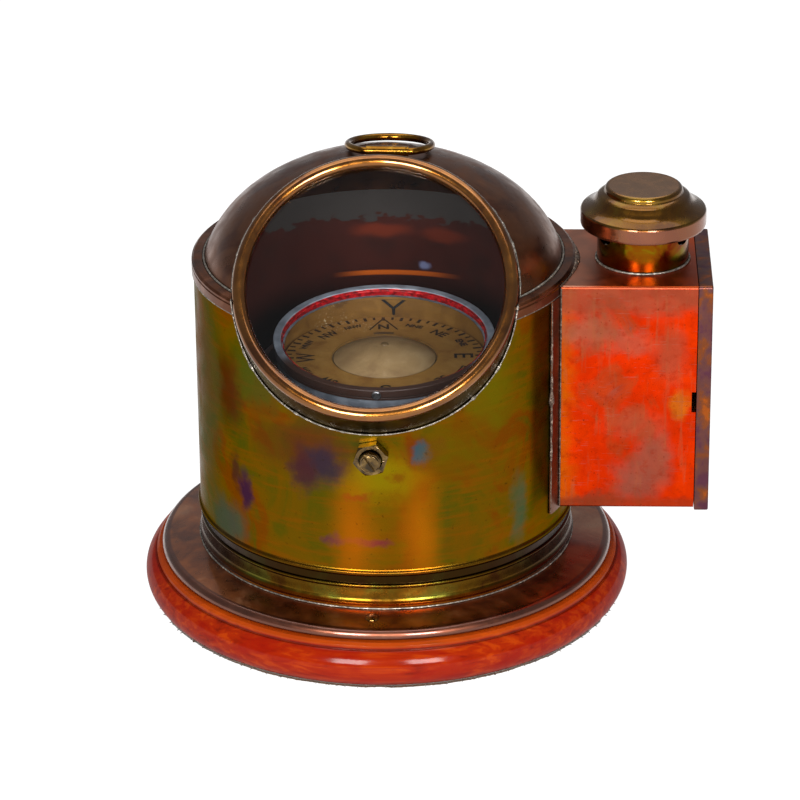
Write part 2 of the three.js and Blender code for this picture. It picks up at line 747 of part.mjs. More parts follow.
makeBase();
makeCover();
makeWindow();
makeCarryRing();
makePivot(-1, 'front');
makePivot(1, 'rear');
makeGimbal();
makeBowl();
makeCard();
makeLampBox();
makeDoor();
makeChimney();
makeLamp();

export default binnacle;
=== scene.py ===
import math

import bmesh
import bpy
from mathutils import Matrix, Vector, noise


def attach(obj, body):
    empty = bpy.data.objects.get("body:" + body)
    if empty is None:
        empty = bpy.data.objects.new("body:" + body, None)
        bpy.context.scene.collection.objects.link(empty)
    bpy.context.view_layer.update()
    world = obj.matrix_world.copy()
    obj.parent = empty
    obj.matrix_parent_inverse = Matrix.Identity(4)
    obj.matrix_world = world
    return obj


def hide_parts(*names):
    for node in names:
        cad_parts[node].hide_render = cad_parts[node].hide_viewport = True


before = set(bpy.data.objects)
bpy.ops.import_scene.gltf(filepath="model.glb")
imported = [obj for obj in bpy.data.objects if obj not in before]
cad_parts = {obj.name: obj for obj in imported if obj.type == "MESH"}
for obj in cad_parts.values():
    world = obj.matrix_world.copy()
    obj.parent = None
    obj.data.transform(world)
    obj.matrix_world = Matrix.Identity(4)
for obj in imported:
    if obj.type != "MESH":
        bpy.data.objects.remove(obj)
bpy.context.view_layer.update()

# Binnacle compass. Sizes are in millimetres and become metres when a mesh is made.
# The object's frame: +Z up, the window faces -Y, the lamp box points to +X.

MM = 0.001
FINE = 192                   # segments round the large turned pieces
MEDIUM = 96
SMALL = 48
GAP = 0.3

BODY_R, BODY_TOP, BODY_WALL = 100.0, 190.0, 1.4
BAND_R, BAND_BOTTOM = 100.95, 184.4
DOME_R, DOME_H, DOME_CENTRE, DOME_FOOT, DOME_WALL = 96.2, 66.4, 177.8, 190.4, 1.3
BEZEL_R, BEZEL_TUBE = 69.9, 3.73
WINDOW_TUBE_R, WINDOW_TUBE_WALL = 73.3, 1.5
WINDOW_HOLE_R = BEZEL_R + BEZEL_TUBE + GAP
WINDOW_TILT = 44.65
GLASS_TOP = -BEZEL_TUBE * math.sin(math.radians(25)) - GAP
GLASS_T = 2.8

PIVOT_Z = 120.0
BOWL_LEAN = 5.1
BOWL_R, BOWL_WALL, BOWL_LIP = 57.0, 1.7, 19.6
BOWL_RING_R, BOWL_RING_TOP, BOWL_GLASS_R = 59.0, 24.25, 54.4
CARD_Z, CARD_R, CARD_TOP, FLOAT_R, FLOAT_RISE = 131.0, 53.2, 0.4, 27.5, 7.5
CARD_TURN = 4.8              # degrees that north lies to the left of the lubber mark

LAMP_YAW = 2.0
LAMP_HALF, LAMP_BOTTOM, LAMP_TOP, LAMP_END = 40.15, 62.6, 189.2, 164.0
LAMP_SHEET, LAMP_FOOT_R, LAMP_LIFT = 1.2, 101.4, 3.2
CHIMNEY_X, CHIMNEY_R, CAP_R, CAP_TOP = 136.1, 24.0, 32.95, 230.0
HINGE_X, HINGE_Y, HINGE_Z = 164.2, 43.4, (88.0, 108.0, 138.0, 158.0)


def shift(x=0.0, y=0.0, z=0.0):
    return Matrix.Translation((x, y, z))


def turn(degrees, axis):
    return Matrix.Rotation(math.radians(degrees), 4, axis)


HERE = Matrix()
WINDOW = shift(0, -60.7, 197.3) @ turn(90 - WINDOW_TILT, "X")
BOWL = shift(0, 0, PIVOT_Z) @ turn(BOWL_LEAN, "X")
CARD = shift(0, 0, CARD_Z)
LAMP = turn(LAMP_YAW, "Z")
CHIMNEY = LAMP @ shift(CHIMNEY_X)
CARRY = shift(2.4, 3, 247.25) @ turn(-10, "X")
PIVOT_FRONT = shift(0, 0, PIVOT_Z) @ turn(90, "X")
PIVOT_REAR = shift(0, 0, PIVOT_Z) @ turn(180, "Z") @ turn(90, "X")


# ------------------------------------------------------------------------ shapes

def wobble(x, y=0.0, z=0.0):
    """Smooth noise from about -1 to 1, the same on every run."""
    return noise.noise(Vector((x, y, z)))


def arc(centre, radius, start, end, steps=12):
    points = []
    for i in range(steps + 1):
        angle = math.radians(start + (end - start) * i / steps)
        points.append((centre[0] + radius * math.cos(angle), centre[1] + radius * math.sin(angle)))
    return points


def softened(section, radius=0.4, closed=True, steps=4):
    """A section with each clear corner rounded off."""
    rounded = []
    last = len(section) - 1
    for i, here in enumerate(section):
        corner = Vector(here)
        back = Vector(section[i - 1]) - corner
        ahead = Vector(section[(i + 1) % len(section)]) - corner
        at_end = not closed and i in (0, last)
        if at_end or min(back.length, ahead.length) < 1e-5:
            rounded.append(here)
            continue
        bend = math.pi - back.angle(ahead)
        if bend < math.radians(14):
            rounded.append(here)
            continue
        reach = min(radius * math.tan(bend / 2), 0.45 * back.length, 0.45 * ahead.length)
        start = corner + back.normalized() * reach
        end = corner + ahead.normalized() * reach
        for k in range(steps + 1):
            t = k / steps
            rounded.append(tuple(start.lerp(corner, t).lerp(corner.lerp(end, t), t)))
    return rounded


def polar(radius, angle, z=0.0):
    return radius * math.cos(angle), radius * math.sin(angle), z


def circle(radius, z, count):
    return [polar(radius, 2 * math.pi * i / count, z) for i in range(count)]


def lathe(section, segments):
    """Vertices and faces of a section of (radius, height) points turned round Z."""
    verts = []
    rings = []
    for radius, height in section:
        count = 1 if radius < 1e-6 else segments
        rings.append(range(len(verts), len(verts) + count))
        for i in range(count):
            angle = 2 * math.pi * i / segments
            verts.append(polar(radius, angle, height))
    faces = []
    for low, high in zip(rings, rings[1:] + rings[:1]):
        if len(low) == 1 and len(high) == 1:
            continue
        for i in range(segments):
            j = (i + 1) % segments
            corners = (low[i % len(low)], low[j % len(low)], high[j % len(high)], high[i % len(high)])
            faces.append(tuple(dict.fromkeys(corners)))
    return verts, faces


def rod(radius, low, high, segments=SMALL, edge=0.25):
    return lathe(softened([(0, low), (radius, low), (radius, high), (0, high)], edge, False), segments)


def plug(radius, low, high, segments):
    """A plain cylinder, to cut or keep with."""
    return lathe([(0, low), (radius, low), (radius, high), (0, high)], segments)


def pipe(outer, inner, low, high, segments=FINE, edge=0.25):
    corners = [(inner, low), (outer, low), (outer, high), (inner, high)]
    return lathe(softened(corners, edge), segments)


def block(low, high):
    verts = [(x, y, z) for x in (low[0], high[0]) for y in (low[1], high[1]) for z in (low[2], high[2])]
    faces = [(0, 1, 3, 2), (4, 6, 7, 5), (0, 4, 5, 1), (2, 3, 7, 6), (0, 2, 6, 4), (1, 5, 7, 3)]
    return verts, faces


def wire(path, radii, up, sides=12, loop=False):
    """A round wire along a path; radii is one radius, or one for each point."""
    path = [Vector(p) for p in path]
    count = len(path)
    if not hasattr(radii, "__len__"):
        radii = [radii] * count
    verts = []
    for i, here in enumerate(path):
        before = path[i - 1] if loop or i else path[0]
        after = path[(i + 1) % count] if loop or i < count - 1 else path[-1]
        travel = (after - before).normalized()
        side = travel.cross(Vector(up)).normalized()
        rise = side.cross(travel)
        for j in range(sides):
            angle = 2 * math.pi * j / sides
            verts.append(here + (side * math.cos(angle) + rise * math.sin(angle)) * radii[i])
    faces = []
    for i in range(count if loop else count - 1):
        for j in range(sides):
            k = (j + 1) % sides
            n = (i + 1) % count
            faces.append((i * sides + j, i * sides + k, n * sides + k, n * sides + j))
    if not loop:
        faces.append(tuple(range(sides)))
        faces.append(tuple(range((count - 1) * sides, count * sides)))
    return verts, faces


def outline(half, low, high, radius, steps=5):
    """A rectangle with round corners, as (y, z) points."""
    corners = ((half, low, -90), (half, high, 0), (-half, high, 90), (-half, low, 180))
    points = []
    for y, z, start in corners:
        centre = (y - math.copysign(radius, y), z + radius if z == low else z - radius)
        points += arc(centre, radius, start, start + 90, steps)
    return points


def lofted(loops, capped):
    """A skin over loops of points with the same count, closed by end faces or into a ring."""
    verts = [p for loop in loops for p in loop]
    size = len(loops[0])
    faces = []
    for i in range(len(loops) if not capped else len(loops) - 1):
        n = (i + 1) % len(loops)
        for j in range(size):
            k = (j + 1) % size
            faces.append((i * size + j, i * size + k, n * size + k, n * size + j))
    if capped:
        faces.append(tuple(range(size)))
        faces.append(tuple(range((len(loops) - 1) * size, len(loops) * size)))
    return verts, faces


def joined(*shapes):
    """Several closed shapes as one list of vertices and faces."""
    verts = []
    faces = []
    for more_verts, more_faces in shapes:
        base = len(verts)
        verts += [tuple(v) for v in more_verts]
        faces += [tuple(base + i for i in face) for face in more_faces]
    return verts, faces


def moved(shape, matrix):
    return [tuple(matrix @ Vector(v)) for v in shape[0]], shape[1]


def lettering(text, size, weight=0.0, height=0.06):
    """Plain raised letters, centred on the origin, in millimetres."""
    curve = bpy.data.curves.new("lettering", "FONT")
    curve.body = text
    curve.size = size
    curve.offset = weight
    curve.extrude = height
    curve.align_x = "CENTER"
    curve.align_y = "CENTER"
    holder = bpy.data.objects.new("lettering", curve)
    bpy.context.scene.collection.objects.link(holder)
    bpy.context.view_layer.update()
    mesh = bpy.data.meshes.new_from_object(holder)
    shape = [tuple(v.co) for v in mesh.vertices], [tuple(p.vertices) for p in mesh.polygons]
    bpy.data.objects.remove(holder)
    bpy.data.curves.remove(curve)
    bpy.data.meshes.remove(mesh)
    return shape


def build(name, shape, place=HERE):
    """A mesh object from a millimetre shape, its faces pointing out, in its own frame."""
    mesh = bpy.data.meshes.new(name)
    mesh.from_pydata([Vector(v) * MM for v in shape[0]], [], shape[1])
    work = bmesh.new()
    work.from_mesh(mesh)
    bmesh.ops.recalc_face_normals(work, faces=work.faces)
    work.to_mesh(mesh)
    work.free()
    piece = bpy.data.objects.new(name, mesh)
    bpy.context.scene.collection.objects.link(piece)
    matrix = place.copy()
    matrix.translation *= MM
    piece.matrix_world = matrix
    return piece


def carve(piece, *tools, how="DIFFERENCE"):
    """The piece with the tools, given as (shape, place), taken off, or kept or joined."""
    cutters = [build("tool", shape, place) for shape, place in tools]
    for cutter in cutters:
        change = piece.modifiers.new("carve", "BOOLEAN")
        change.operation = how
        change.solver = "EXACT"
        change.object = cutter
    bpy.context.view_layer.update()
    rest = piece.data
    final = piece.evaluated_get(bpy.context.evaluated_depsgraph_get())
    piece.data = bpy.data.meshes.new_from_object(final)
    piece.modifiers.clear()
    bpy.data.meshes.remove(rest)
    for cutter in cutters:
        bpy.data.objects.remove(cutter)
    return piece


def dress(piece, body, slot, look, *nodes, sharp=32, bevel=0.0):
    """Shading, material and body of a finished piece, and the CAD nodes it stands for; the slot is not
    used.
    """
    work = bmesh.new()
    work.from_mesh(piece.data)
    for edge in work.edges:
        edge.smooth = len(edge.link_faces) == 2 and edge.calc_face_angle(0) < math.radians(sharp)
    for face in work.faces:
        face.smooth = True
    work.to_mesh(piece.data)
    work.free()
    if bevel:
        round_off = piece.modifiers.new("bevel", "BEVEL")
        round_off.width = bevel * MM
        round_off.segments = 3
        round_off.angle_limit = math.radians(sharp)
        round_off.harden_normals = False
    even = piece.modifiers.new("even", "WEIGHTED_NORMAL")
    even.keep_sharp = not bevel
    piece.data.materials.clear()
    piece.data.materials.append(MATERIALS[look])
    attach(piece, body)
    if nodes:
        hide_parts(*nodes)


def put(name, shape, body, slot, look, *nodes, place=HERE, cuts=(), **finish):
    """A whole piece in one step: built, cut and dressed."""
    piece = build(name, shape, place)
    if cuts:
        carve(piece, *cuts)
    dress(piece, body, slot, look, *nodes, **finish)


# --------------------------------------------------------------------- materials

def rgb(code):
    """A colour from its screen code, as linear light."""
    levels = [int(code[i:i + 2], 16) / 255 for i in (1, 3, 5)]
    return [c / 12.92 if c <= 0.04045 else ((c + 0.055) / 1.055) ** 2.4 for c in levels] + [1.0]


class Look:
    """A node material, built up from sockets."""

    def __init__(self, name, metallic=0.0, roughness=0.5, coat=0.0, coat_roughness=0.05, specular=0.5):
        self.material = bpy.data.materials.new(name)
        self.material.use_nodes = True
        tree = self.material.node_tree
        self.nodes, self.links = tree.nodes, tree.links
        self.shader = self.nodes["Principled BSDF"]
        self.place = self.add("ShaderNodeTexCoord").outputs["Object"]
        self.set("Metallic", metallic)
        self.set("Roughness", roughness)
        self.set("Coat Weight", coat)
        self.set("Coat Roughness", coat_roughness)
        self.set("Specular IOR Level", specular)

    def add(self, kind, inputs=None, **settings):
        node = self.nodes.new(kind)
        for key, value in settings.items():
            setattr(node, key, value)
        for key, value in (inputs or {}).items():
            self.feed(node.inputs[key], value)
        return node

    def feed(self, socket, value):
        if isinstance(value, bpy.types.NodeSocket):
            self.links.new(value, socket)
        else:
            socket.default_value = value

    def set(self, name, value):
        self.feed(self.shader.inputs[name], value)

    def math(self, how, a, b=0.0):
        return self.add("ShaderNodeMath", {0: a, 1: b}, operation=how).outputs[0]

    def times(self, a, b):
        return self.math("MULTIPLY", a, b)

    def axes(self):
        return self.add("ShaderNodeSeparateXYZ", {0: self.place}).outputs

    def stretched(self, scale, offset=(0, 0, 0)):
        """The object coordinates in millimetres, divided by a size along each axis."""
        factors = [1 / (MM * s) for s in scale]
        return self.add("ShaderNodeMapping", {"Vector": self.place, "Location": offset,
            "Scale": factors}).outputs[0]

    def noise(self, size, detail=4.0, roughness=0.55, distortion=0.0, offset=(0, 0, 0)):
        """Noise whose features are about the given size, in mm, along each axis."""
        size = size if hasattr(size, "__len__") else (size,) * 3
        inputs = {"Vector": self.stretched(size, offset), "Scale": 1.0, "Detail": detail,
            "Roughness": roughness, "Distortion": distortion}
        return self.add("ShaderNodeTexNoise", inputs).outputs["Fac"]

    def cylinder(self):
        """Radius and height, in mm, of the place about the object's own Z axis."""
        parts = self.axes()
        flat = self.add("ShaderNodeCombineXYZ", {0: parts[0], 1: parts[1], 2: 0.0})
        radius = self.add("ShaderNodeVectorMath", {0: flat.outputs[0]}, operation="LENGTH")
        return (self.times(radius.outputs["Value"], 1 / MM), self.times(parts[2], 1 / MM))

    def rings(self, size, wander=0.12):
        """Fine lines that run round the object's Z axis, as turning or brushing leaves them."""
        radius, height = self.cylinder()
        drift = self.times(self.noise(25, detail=1), wander)
        along = self.add("ShaderNodeCombineXYZ", {0: radius, 1: height, 2: drift})
        inputs = {"Vector": along.outputs[0], "Scale": 1 / size, "Detail": 3.0, "Roughness": 0.7}
        return self.add("ShaderNodeTexNoise", inputs).outputs["Fac"]

    def ramp(self, value, *stops):
        node = self.add("ShaderNodeValToRGB", {0: value})
        ramp = node.color_ramp
        ramp.interpolation = "EASE"
        while len(ramp.elements) < len(stops):
            ramp.elements.new(1.0)
        for element, (position, colour) in zip(ramp.elements, stops):
            element.position = position
            element.color = rgb(colour)
        return node.outputs[0]

    def level(self, value, low, high, to_low=0.0, to_high=1.0):
        """The value's rise from low to high as a smooth rise between two other levels."""
        inputs = {"Value": value, "From Min": low, "From Max": high, "To Min": to_low,
            "To Max": to_high}
        return self.add("ShaderNodeMapRange", inputs, interpolation_type="SMOOTHSTEP").outputs[0]

    def blend(self, factor, a, b):
        node = self.add("ShaderNodeMix", data_type="RGBA", blend_type="MIX")
        self.feed(node.inputs["Factor"], factor)
        self.feed(node.inputs[6], rgb(a) if isinstance(a, str) else a)
        self.feed(node.inputs[7], rgb(b) if isinstance(b, str) else b)
        return node.outputs[2]

    def tint(self, colour, value, low, high, share, other):
        """The colour, going over to a share of another one as the value rises from low to high."""
        return self.blend(self.level(value, low, high, 0.0, share), colour, other)

    def rough(self, value, smooth, dull):
        self.set("Roughness", self.level(value, 0.3, 0.7, smooth, dull))

    def patch(self, colour, centre, size, softness, share, other):
        """The colour, with a share of another one in a patch."""
        return self.blend(self.times(self.spot(centre, size, softness), share), colour, other)

    def warp(self, size, reach):
        """Bends the places of all the spots made after it, so that their outlines wander."""
        drift = self.add("ShaderNodeTexNoise", {"Vector": self.stretched((size,) * 3), "Scale": 1.0,
            "Detail": 5.0, "Roughness": 0.6}).outputs["Color"]
        inputs = {0: drift, 1: [MM * reach * 2] * 3, 2: self.place}
        shifted = self.add("ShaderNodeVectorMath", inputs, operation="MULTIPLY_ADD").outputs[0]
        self.bent = self.add("ShaderNodeVectorMath", {0: shifted, 1: [MM * reach] * 3},
            operation="SUBTRACT").outputs[0]

    def spot(self, centre, size, softness=0.5):
        """1 inside an irregular patch round a place, in mm, falling to 0 outside it."""
        middle = self.add("ShaderNodeVectorMath", {0: self.bent, 1: [c * MM for c in centre]},
            operation="SUBTRACT").outputs[0]
        scaled = self.add("ShaderNodeVectorMath", {0: middle, 1: [1 / (MM * s) for s in size]},
            operation="MULTIPLY").outputs[0]
        reach = self.add("ShaderNodeVectorMath", {0: scaled}, operation="LENGTH").outputs["Value"]
        return self.level(reach, 1 - softness, 1 + softness, 1.0, 0.0)

    def bump(self, height, depth):
        """Relief whose full height is the given depth in mm."""
        inputs = {"Height": height, "Strength": 1.0, "Distance": depth * MM}
        if self.shader.inputs["Normal"].is_linked:
            inputs["Normal"] = self.shader.inputs["Normal"].links[0].from_socket
        self.feed(self.shader.inputs["Normal"], self.add("ShaderNodeBump", inputs).outputs[0])


def on_body(azimuth, height):
    """The place on a cylinder at an angle from the front, towards the lamp box."""
    angle = math.radians(azimuth)
    return BODY_R * math.sin(angle), -BODY_R * math.cos(angle), height


def body_look():
    """Brass with a heat-tinted lacquer: olive, amber, orange, purple and teal patches, with painted
    highlights low on the front, a painted reflection of the lamp box, painted shade on the bottom bead
    and painted light on the inner rear wall.
    """
    look = Look("body_brass", metallic=1.0)
    look.set("Specular Tint", (0.5, 0.47, 0.42, 1))
    broad = look.noise((40, 40, 55), detail=4, distortion=0.9)
    colour = look.ramp(broad, (0.3, "#3e440e"), (0.42, "#504606"), (0.52, "#624604"), (0.62, "#6a3804"),
        (0.74, "#4e460a"))
    streaks = look.noise((30, 30, 3.2), detail=5, offset=(4, 1, 7))
    colour = look.tint(colour, streaks, 0.45, 0.7, 0.5, "#7a4204")
    look.warp(13, 9)
    patches = (
        # azimuth, height, half width, half height, colour, share
        (2, 108, 20, 14, "#847006", 0.75), (-50, 140, 12, 19, "#4a2014", 0.85),
        (-37, 152, 14, 14, "#3c4a16", 0.7), (-30, 121, 16, 13, "#4c2e0e", 0.5),
        # the patch at azimuth 4, height 74 is a painted highlight, between the two highlight columns
        # below
        (4, 74, 9, 22, "#744c04", 0.5), (-17, 121, 18, 16, "#5a2a12", 0.8),
        (-14.5, 113, 8.5, 12, "#302632", 0.9), (-21, 108, 6, 13, "#3e2028", 0.85),
        (-43, 86, 4.5, 11, "#361a34", 0.95), (-47, 96, 4, 9, "#40201e", 0.8),
        (15.6, 121.5, 9, 8, "#6c2c10", 0.8), (15.6, 121.5, 4.6, 5.4, "#2c4a58", 0.98),
        (7, 108, 4, 4, "#6c3008", 0.6), (-4.8, 95, 7, 2.4, "#702410", 0.8),
        (-2, 70, 11, 3, "#6a2030", 0.9), (-12, 70.5, 5, 3.2, "#4e2638", 0.8),
        (27, 68, 9, 12, "#6e4004", 0.5), (24, 118, 14, 16, "#5c4c04", 0.5),
        (-54, 62, 16, 13, "#32483e", 0.8), (48, 76, 6, 18, "#34523c", 0.6),
        (36, 150, 14, 20, "#5c5a06", 0.6), (-63, 130, 14, 50, "#3e4430", 0.6),
    )
    for azimuth, height, wide, tall, tint, share in patches:
        colour = look.patch(colour, on_body(azimuth, height), (wide, wide, tall), 0.6, share, tint)
    # Painted highlights: two soft amber columns low on the front, where the two side softboxes reflect
    # in the brass.
    look.warp(26, 5)
    for azimuth, wide, tint in ((-5.5, 9, "#a85606"), (14.5, 8, "#a45a06")):
        colour = look.patch(colour, on_body(azimuth, 74), (wide, wide, 26), 0.95, 0.75, tint)
    parts = look.axes()
    front = look.times(parts[1], -1.0)
    azimuth = look.times(look.math("ARCTAN2", parts[0], front), 180 / math.pi)
    # Painted reflection: a dark band beside the lamp box, from about 54 to 70 degrees round from the
    # front, standing for the box's reflection in the polished body.
    painted_box_reflection = look.times(look.level(azimuth, 52, 55.5), look.level(azimuth, 72, 69))
    radius, height = look.cylinder()
    painted_box_reflection = look.times(painted_box_reflection, look.level(height, 62, 84, 0.0, 0.6))
    colour = look.blend(painted_box_reflection, colour, "#2c1a08")
    # Painted shade: the body goes darker below a height of about 55 mm, on its bottom bead.
    colour = look.tint(colour, height, 55.5, 54, 0.7, "#4a300c")
    specks = look.noise(2.2, detail=3, offset=(9, 3, 2))
    colour = look.tint(colour, specks, 0.64, 0.76, 0.45, "#2a1c06")
    ragged = look.math("ADD", height, look.times(look.noise((9, 9, 4), detail=6), 22.0))
    inner = look.tint("#38140e", look.noise(20, detail=4), 0.45, 0.7, 0.5, "#1e0e0b")
    # Painted light: an orange glow in a narrow band on the inner rear wall, at a height of about 139
    # mm.
    painted_glow = look.times(look.spot((0, 98.6, 139), (27, 14, 16)),
        look.level(look.math("ABSOLUTE", look.math("SUBTRACT", height, 139)), 0.9, 1.8, 0.9, 0.0))
    inner = look.blend(painted_glow, inner, "#c05a12")
    for spot, size, tint, share in (((16, 97, 144), (3, 6, 2.6), "#70789a", 0.8),
            ((-8, 98, 164), (15, 14, 4), "#6a2610", 0.7),
            ((26, 95, 163), (11, 14, 3.5), "#6a2610", 0.6)):
        inner = look.patch(inner, spot, size, 0.5, share, tint)
    inner = look.blend(look.level(ragged, 182.4, 183.8), inner, "#34302e")
    hidden = look.level(radius, 99.1, 99.5, 1.0, 0.0)
    look.set("Base Color", look.blend(hidden, colour, inner))
    look.set("Metallic", look.level(radius, 99.1, 99.5, 0.35, 1.0))
    rough = look.level(look.noise(18, detail=5, offset=(2, 2, 2)), 0.3, 0.7, 0.2, 0.34)
    look.set("Roughness", look.math("ADD", rough, look.times(hidden, 0.25)))
    look.set("Anisotropic", 0.75)
    look.set("Tangent", look.add("ShaderNodeTangent", direction_type="RADIAL", axis="Z").outputs[0])
    look.bump(look.rings(0.35), 0.012)
    look.bump(look.noise(14, detail=2), 0.16)
    return look.material


def brown_copper(name, dark, mid, light, size=30.0, roughness=(0.26, 0.42), lines=0.0, coat=0.0,
        bands=(), roll=None, sides=None):
    """Copper or bronze under a brown patina: bands are (low, high, colour) in height, roll is
    (radius, colour) outside a radius, and sides is a painted shade colour away from the lit front."""
    look = Look(name, metallic=1.0, coat=coat, coat_roughness=0.12)
    cloud = look.noise(size, detail=5, distortion=0.6)
    colour = look.ramp(cloud, (0.32, dark), (0.5, mid), (0.7, light))
    fine = look.noise(2.5, detail=4, offset=(3, 8, 1))
    colour = look.tint(colour, fine, 0.62, 0.75, 0.3, dark)
    for low, high, tint in bands:
        _, height = look.cylinder()
        inside = look.times(look.level(height, low - 0.3, low + 0.3),
            look.level(height, high + 0.3, high - 0.3))
        colour = look.blend(look.times(inside, 0.85), colour, tint)
    if roll:
        radius, _ = look.cylinder()
        colour = look.tint(colour, radius, roll[0] - 0.5, roll[0] + 0.5, 0.85, roll[1])
    # Painted shade: away from the front, starting 94 mm in front of the axis and full from 50 mm, the
    # colour goes over to the sides colour.
    if sides:
        parts = look.axes()
        colour = look.tint(colour, parts[1], -0.094, -0.05, 0.75, sides)
    look.set("Base Color", colour)
    look.rough(look.noise(9, detail=6, offset=(5, 5, 5)), *roughness)
    if lines:
        look.bump(look.rings(0.5), lines)
    look.bump(look.noise(16, detail=2, offset=(1, 2, 3)), 0.12)
    return look.material


def orange_copper():
    """The lamp box: vivid orange-red lacquered copper with mauve-grey clouds."""
    look = Look("lamp_copper", metallic=1.0)
    parts = look.axes()
    along, up = (look.times(parts[i], 1 / MM) for i in (0, 2))
    cloud = look.noise((24, 24, 30), detail=5, distortion=0.7, offset=(0, 0, 3))
    colour = look.ramp(cloud, (0.34, "#ba2a01"), (0.52, "#b22402"), (0.64, "#9c3010"),
        (0.76, "#744034"))
    edge = look.math("ADD", along, look.times(look.noise(12, detail=4), 16.0))
    colour = look.tint(colour, edge, 112, 98, 0.8, "#a45006")
    haze = look.math("ADD", up, look.times(look.noise((18, 18, 12), detail=5), 36.0))
    colour = look.tint(colour, haze, 184, 200, 0.8, "#7c3c28")
    look.warp(14, 9)
    for spot, size, tint, share in (((150, -40, 150), (8, 20, 14), "#7c402c", 0.6),
            ((143, -40, 90), (8, 20, 16), "#784636", 0.75),
            ((131, -40, 77), (10, 20, 12), "#744234", 0.8),
            ((132, -40, 112), (12, 20, 7), "#86402a", 0.6),
            ((108, -40, 164), (14, 20, 9), "#80503a", 0.7),
            ((128, -40, 158), (12, 20, 6), "#88503c", 0.5),
            ((156, -40, 122), (5, 20, 7), "#a86414", 0.6),
            ((110, -40, 66), (16, 20, 4), "#6c3420", 0.7)):
        colour = look.patch(colour, spot, size, 0.6, share, tint)
    mottle = look.noise(5, detail=8, roughness=0.65, offset=(3, 9, 1))
    colour = look.tint(colour, mottle, 0.5, 0.7, 0.5, "#841c04")
    runs = look.noise((3, 3, 24), detail=4, offset=(6, 2, 8))
    colour = look.tint(colour, runs, 0.54, 0.74, 0.4, "#8a4a2c")
    scratch = look.noise((9, 9, 0.5), detail=2, offset=(7, 7, 2))
    low = look.level(up, 70, 66, 0.0, 0.6)
    colour = look.blend(low, colour, "#7c2c14")
    colour = look.tint(colour, scratch, 0.66, 0.72, 0.35, "#8c5a4c")
    specks = look.noise(1.4, detail=3, offset=(7, 1, 2))
    colour = look.tint(colour, specks, 0.66, 0.74, 0.7, "#5c1604")
    radius, _ = look.cylinder()
    flat = look.level(up, LAMP_TOP - 0.6, LAMP_TOP - 0.2)
    lid = look.blend(look.level(radius, 124, 108), "#a04018", "#9c6650")
    colour = look.blend(flat, colour, lid)
    look.set("Base Color", colour)
    look.rough(look.noise(12, detail=5, offset=(5, 1, 5)), 0.32, 0.48)
    look.bump(look.noise(20, detail=2, offset=(1, 5, 3)), 0.2)
    return look.material


def door_copper():
    """The lamp box's door: purple-brown copper with orange and green spots."""
    look = Look("door_copper", metallic=0.9)
    cloud = look.noise((9, 9, 12), detail=6, distortion=0.3, offset=(3, 1, 3))
    colour = look.ramp(cloud, (0.34, "#4c2834"), (0.48, "#583430"), (0.58, "#6c381c"),
        (0.66, "#8a4210"), (0.76, "#4a4a24"))
    look.set("Base Color", colour)
    look.rough(look.noise(8, detail=5), 0.28, 0.42)
    look.bump(look.noise(18, detail=2, offset=(1, 5, 3)), 0.15)
    return look.material


def golden_brass(name, dark, mid, bright, size=20.0, roughness=(0.14, 0.26), coat=0.0, crown=None,
        rim=None):
    """Handled brass, browner in its hollows; the chimney cap has a paler crown, a painted light on its
    flat top, and a pinker rim.
    """
    look = Look(name, metallic=1.0, coat=coat, coat_roughness=0.07)
    cloud = look.noise(size, detail=5, distortion=0.5, offset=(2, 6, 4))
    colour = look.ramp(cloud, (0.34, dark), (0.5, mid), (0.68, bright))
    marks = look.noise(1.8, detail=4, offset=(8, 3, 5))
    colour = look.tint(colour, marks, 0.64, 0.76, 0.5, dark)
    # Painted light: inside a radius of about 18 mm, on the cap's flat top, the colour goes paler.
    if crown:
        radius, _ = look.cylinder()
        colour = look.tint(colour, radius, 19.5, 17.5, 0.8, crown)
    if rim:
        _, height = look.cylinder()
        colour = look.tint(colour, height, 217.4, 216.2, 0.7, rim)
    look.set("Base Color", colour)
    look.rough(look.noise(7, detail=6), *roughness)
    look.bump(look.rings(0.4), 0.006)
    look.bump(look.noise(9, detail=3), 0.04)
    return look.material


def solder_look(name, dark, mid, bright):
    """Dull grey solder, lumpy, with a few bright scraped places."""
    look = Look(name, metallic=0.75, roughness=0.4)
    grain = look.noise(1.6, detail=6, roughness=0.65)
    look.set("Base Color", look.ramp(grain, (0.3, dark), (0.5, mid), (0.68, bright)))
    look.rough(grain, 0.55, 0.3)
    look.bump(look.noise(1.1, detail=5), 0.25)
    return look.material


def mahogany_look():
    """Orange-red mahogany under a thick glossy varnish, its grain turned with the moulding."""
    look = Look("mahogany", roughness=0.5, coat=0.22, coat_roughness=0.13, specular=0.0)
    grain = look.noise((60, 4.5, 3.5), detail=6, distortion=0.5)
    pores = look.noise((14, 0.7, 0.6), detail=3, offset=(5, 5, 5))
    patch = look.noise((34, 34, 16), detail=5, distortion=0.7, offset=(8, 1, 0))
    colour = look.ramp(grain, (0.3, "#5a0e01"), (0.48, "#741801"), (0.62, "#842802"))
    colour = look.tint(colour, patch, 0.42, 0.66, 0.8, "#6c0b01")
    colour = look.tint(colour, pores, 0.6, 0.72, 0.4, "#4c1404")
    radius, height = look.cylinder()
    # Painted shade: a dark line in the small groove at a height of 21.2 mm on the moulding's front.
    groove = look.math("ABSOLUTE", look.math("SUBTRACT", height, 21.2))
    groove_shade = look.times(look.level(groove, 0.2, 0.8, 0.6, 0.0), look.level(radius, 122, 124))
    colour = look.blend(groove_shade, colour, "#240a04")
    colour = look.tint(colour, height, 21.8, 22.6, 0.45, "#8a3c08")
    low = look.math("ADD", height, look.times(look.noise(12), 5.0))
    colour = look.tint(colour, low, 7.5, 3.5, 0.5, "#5c1c06")
    look.set("Base Color", colour)
    look.bump(pores, 0.05)
    return look.material


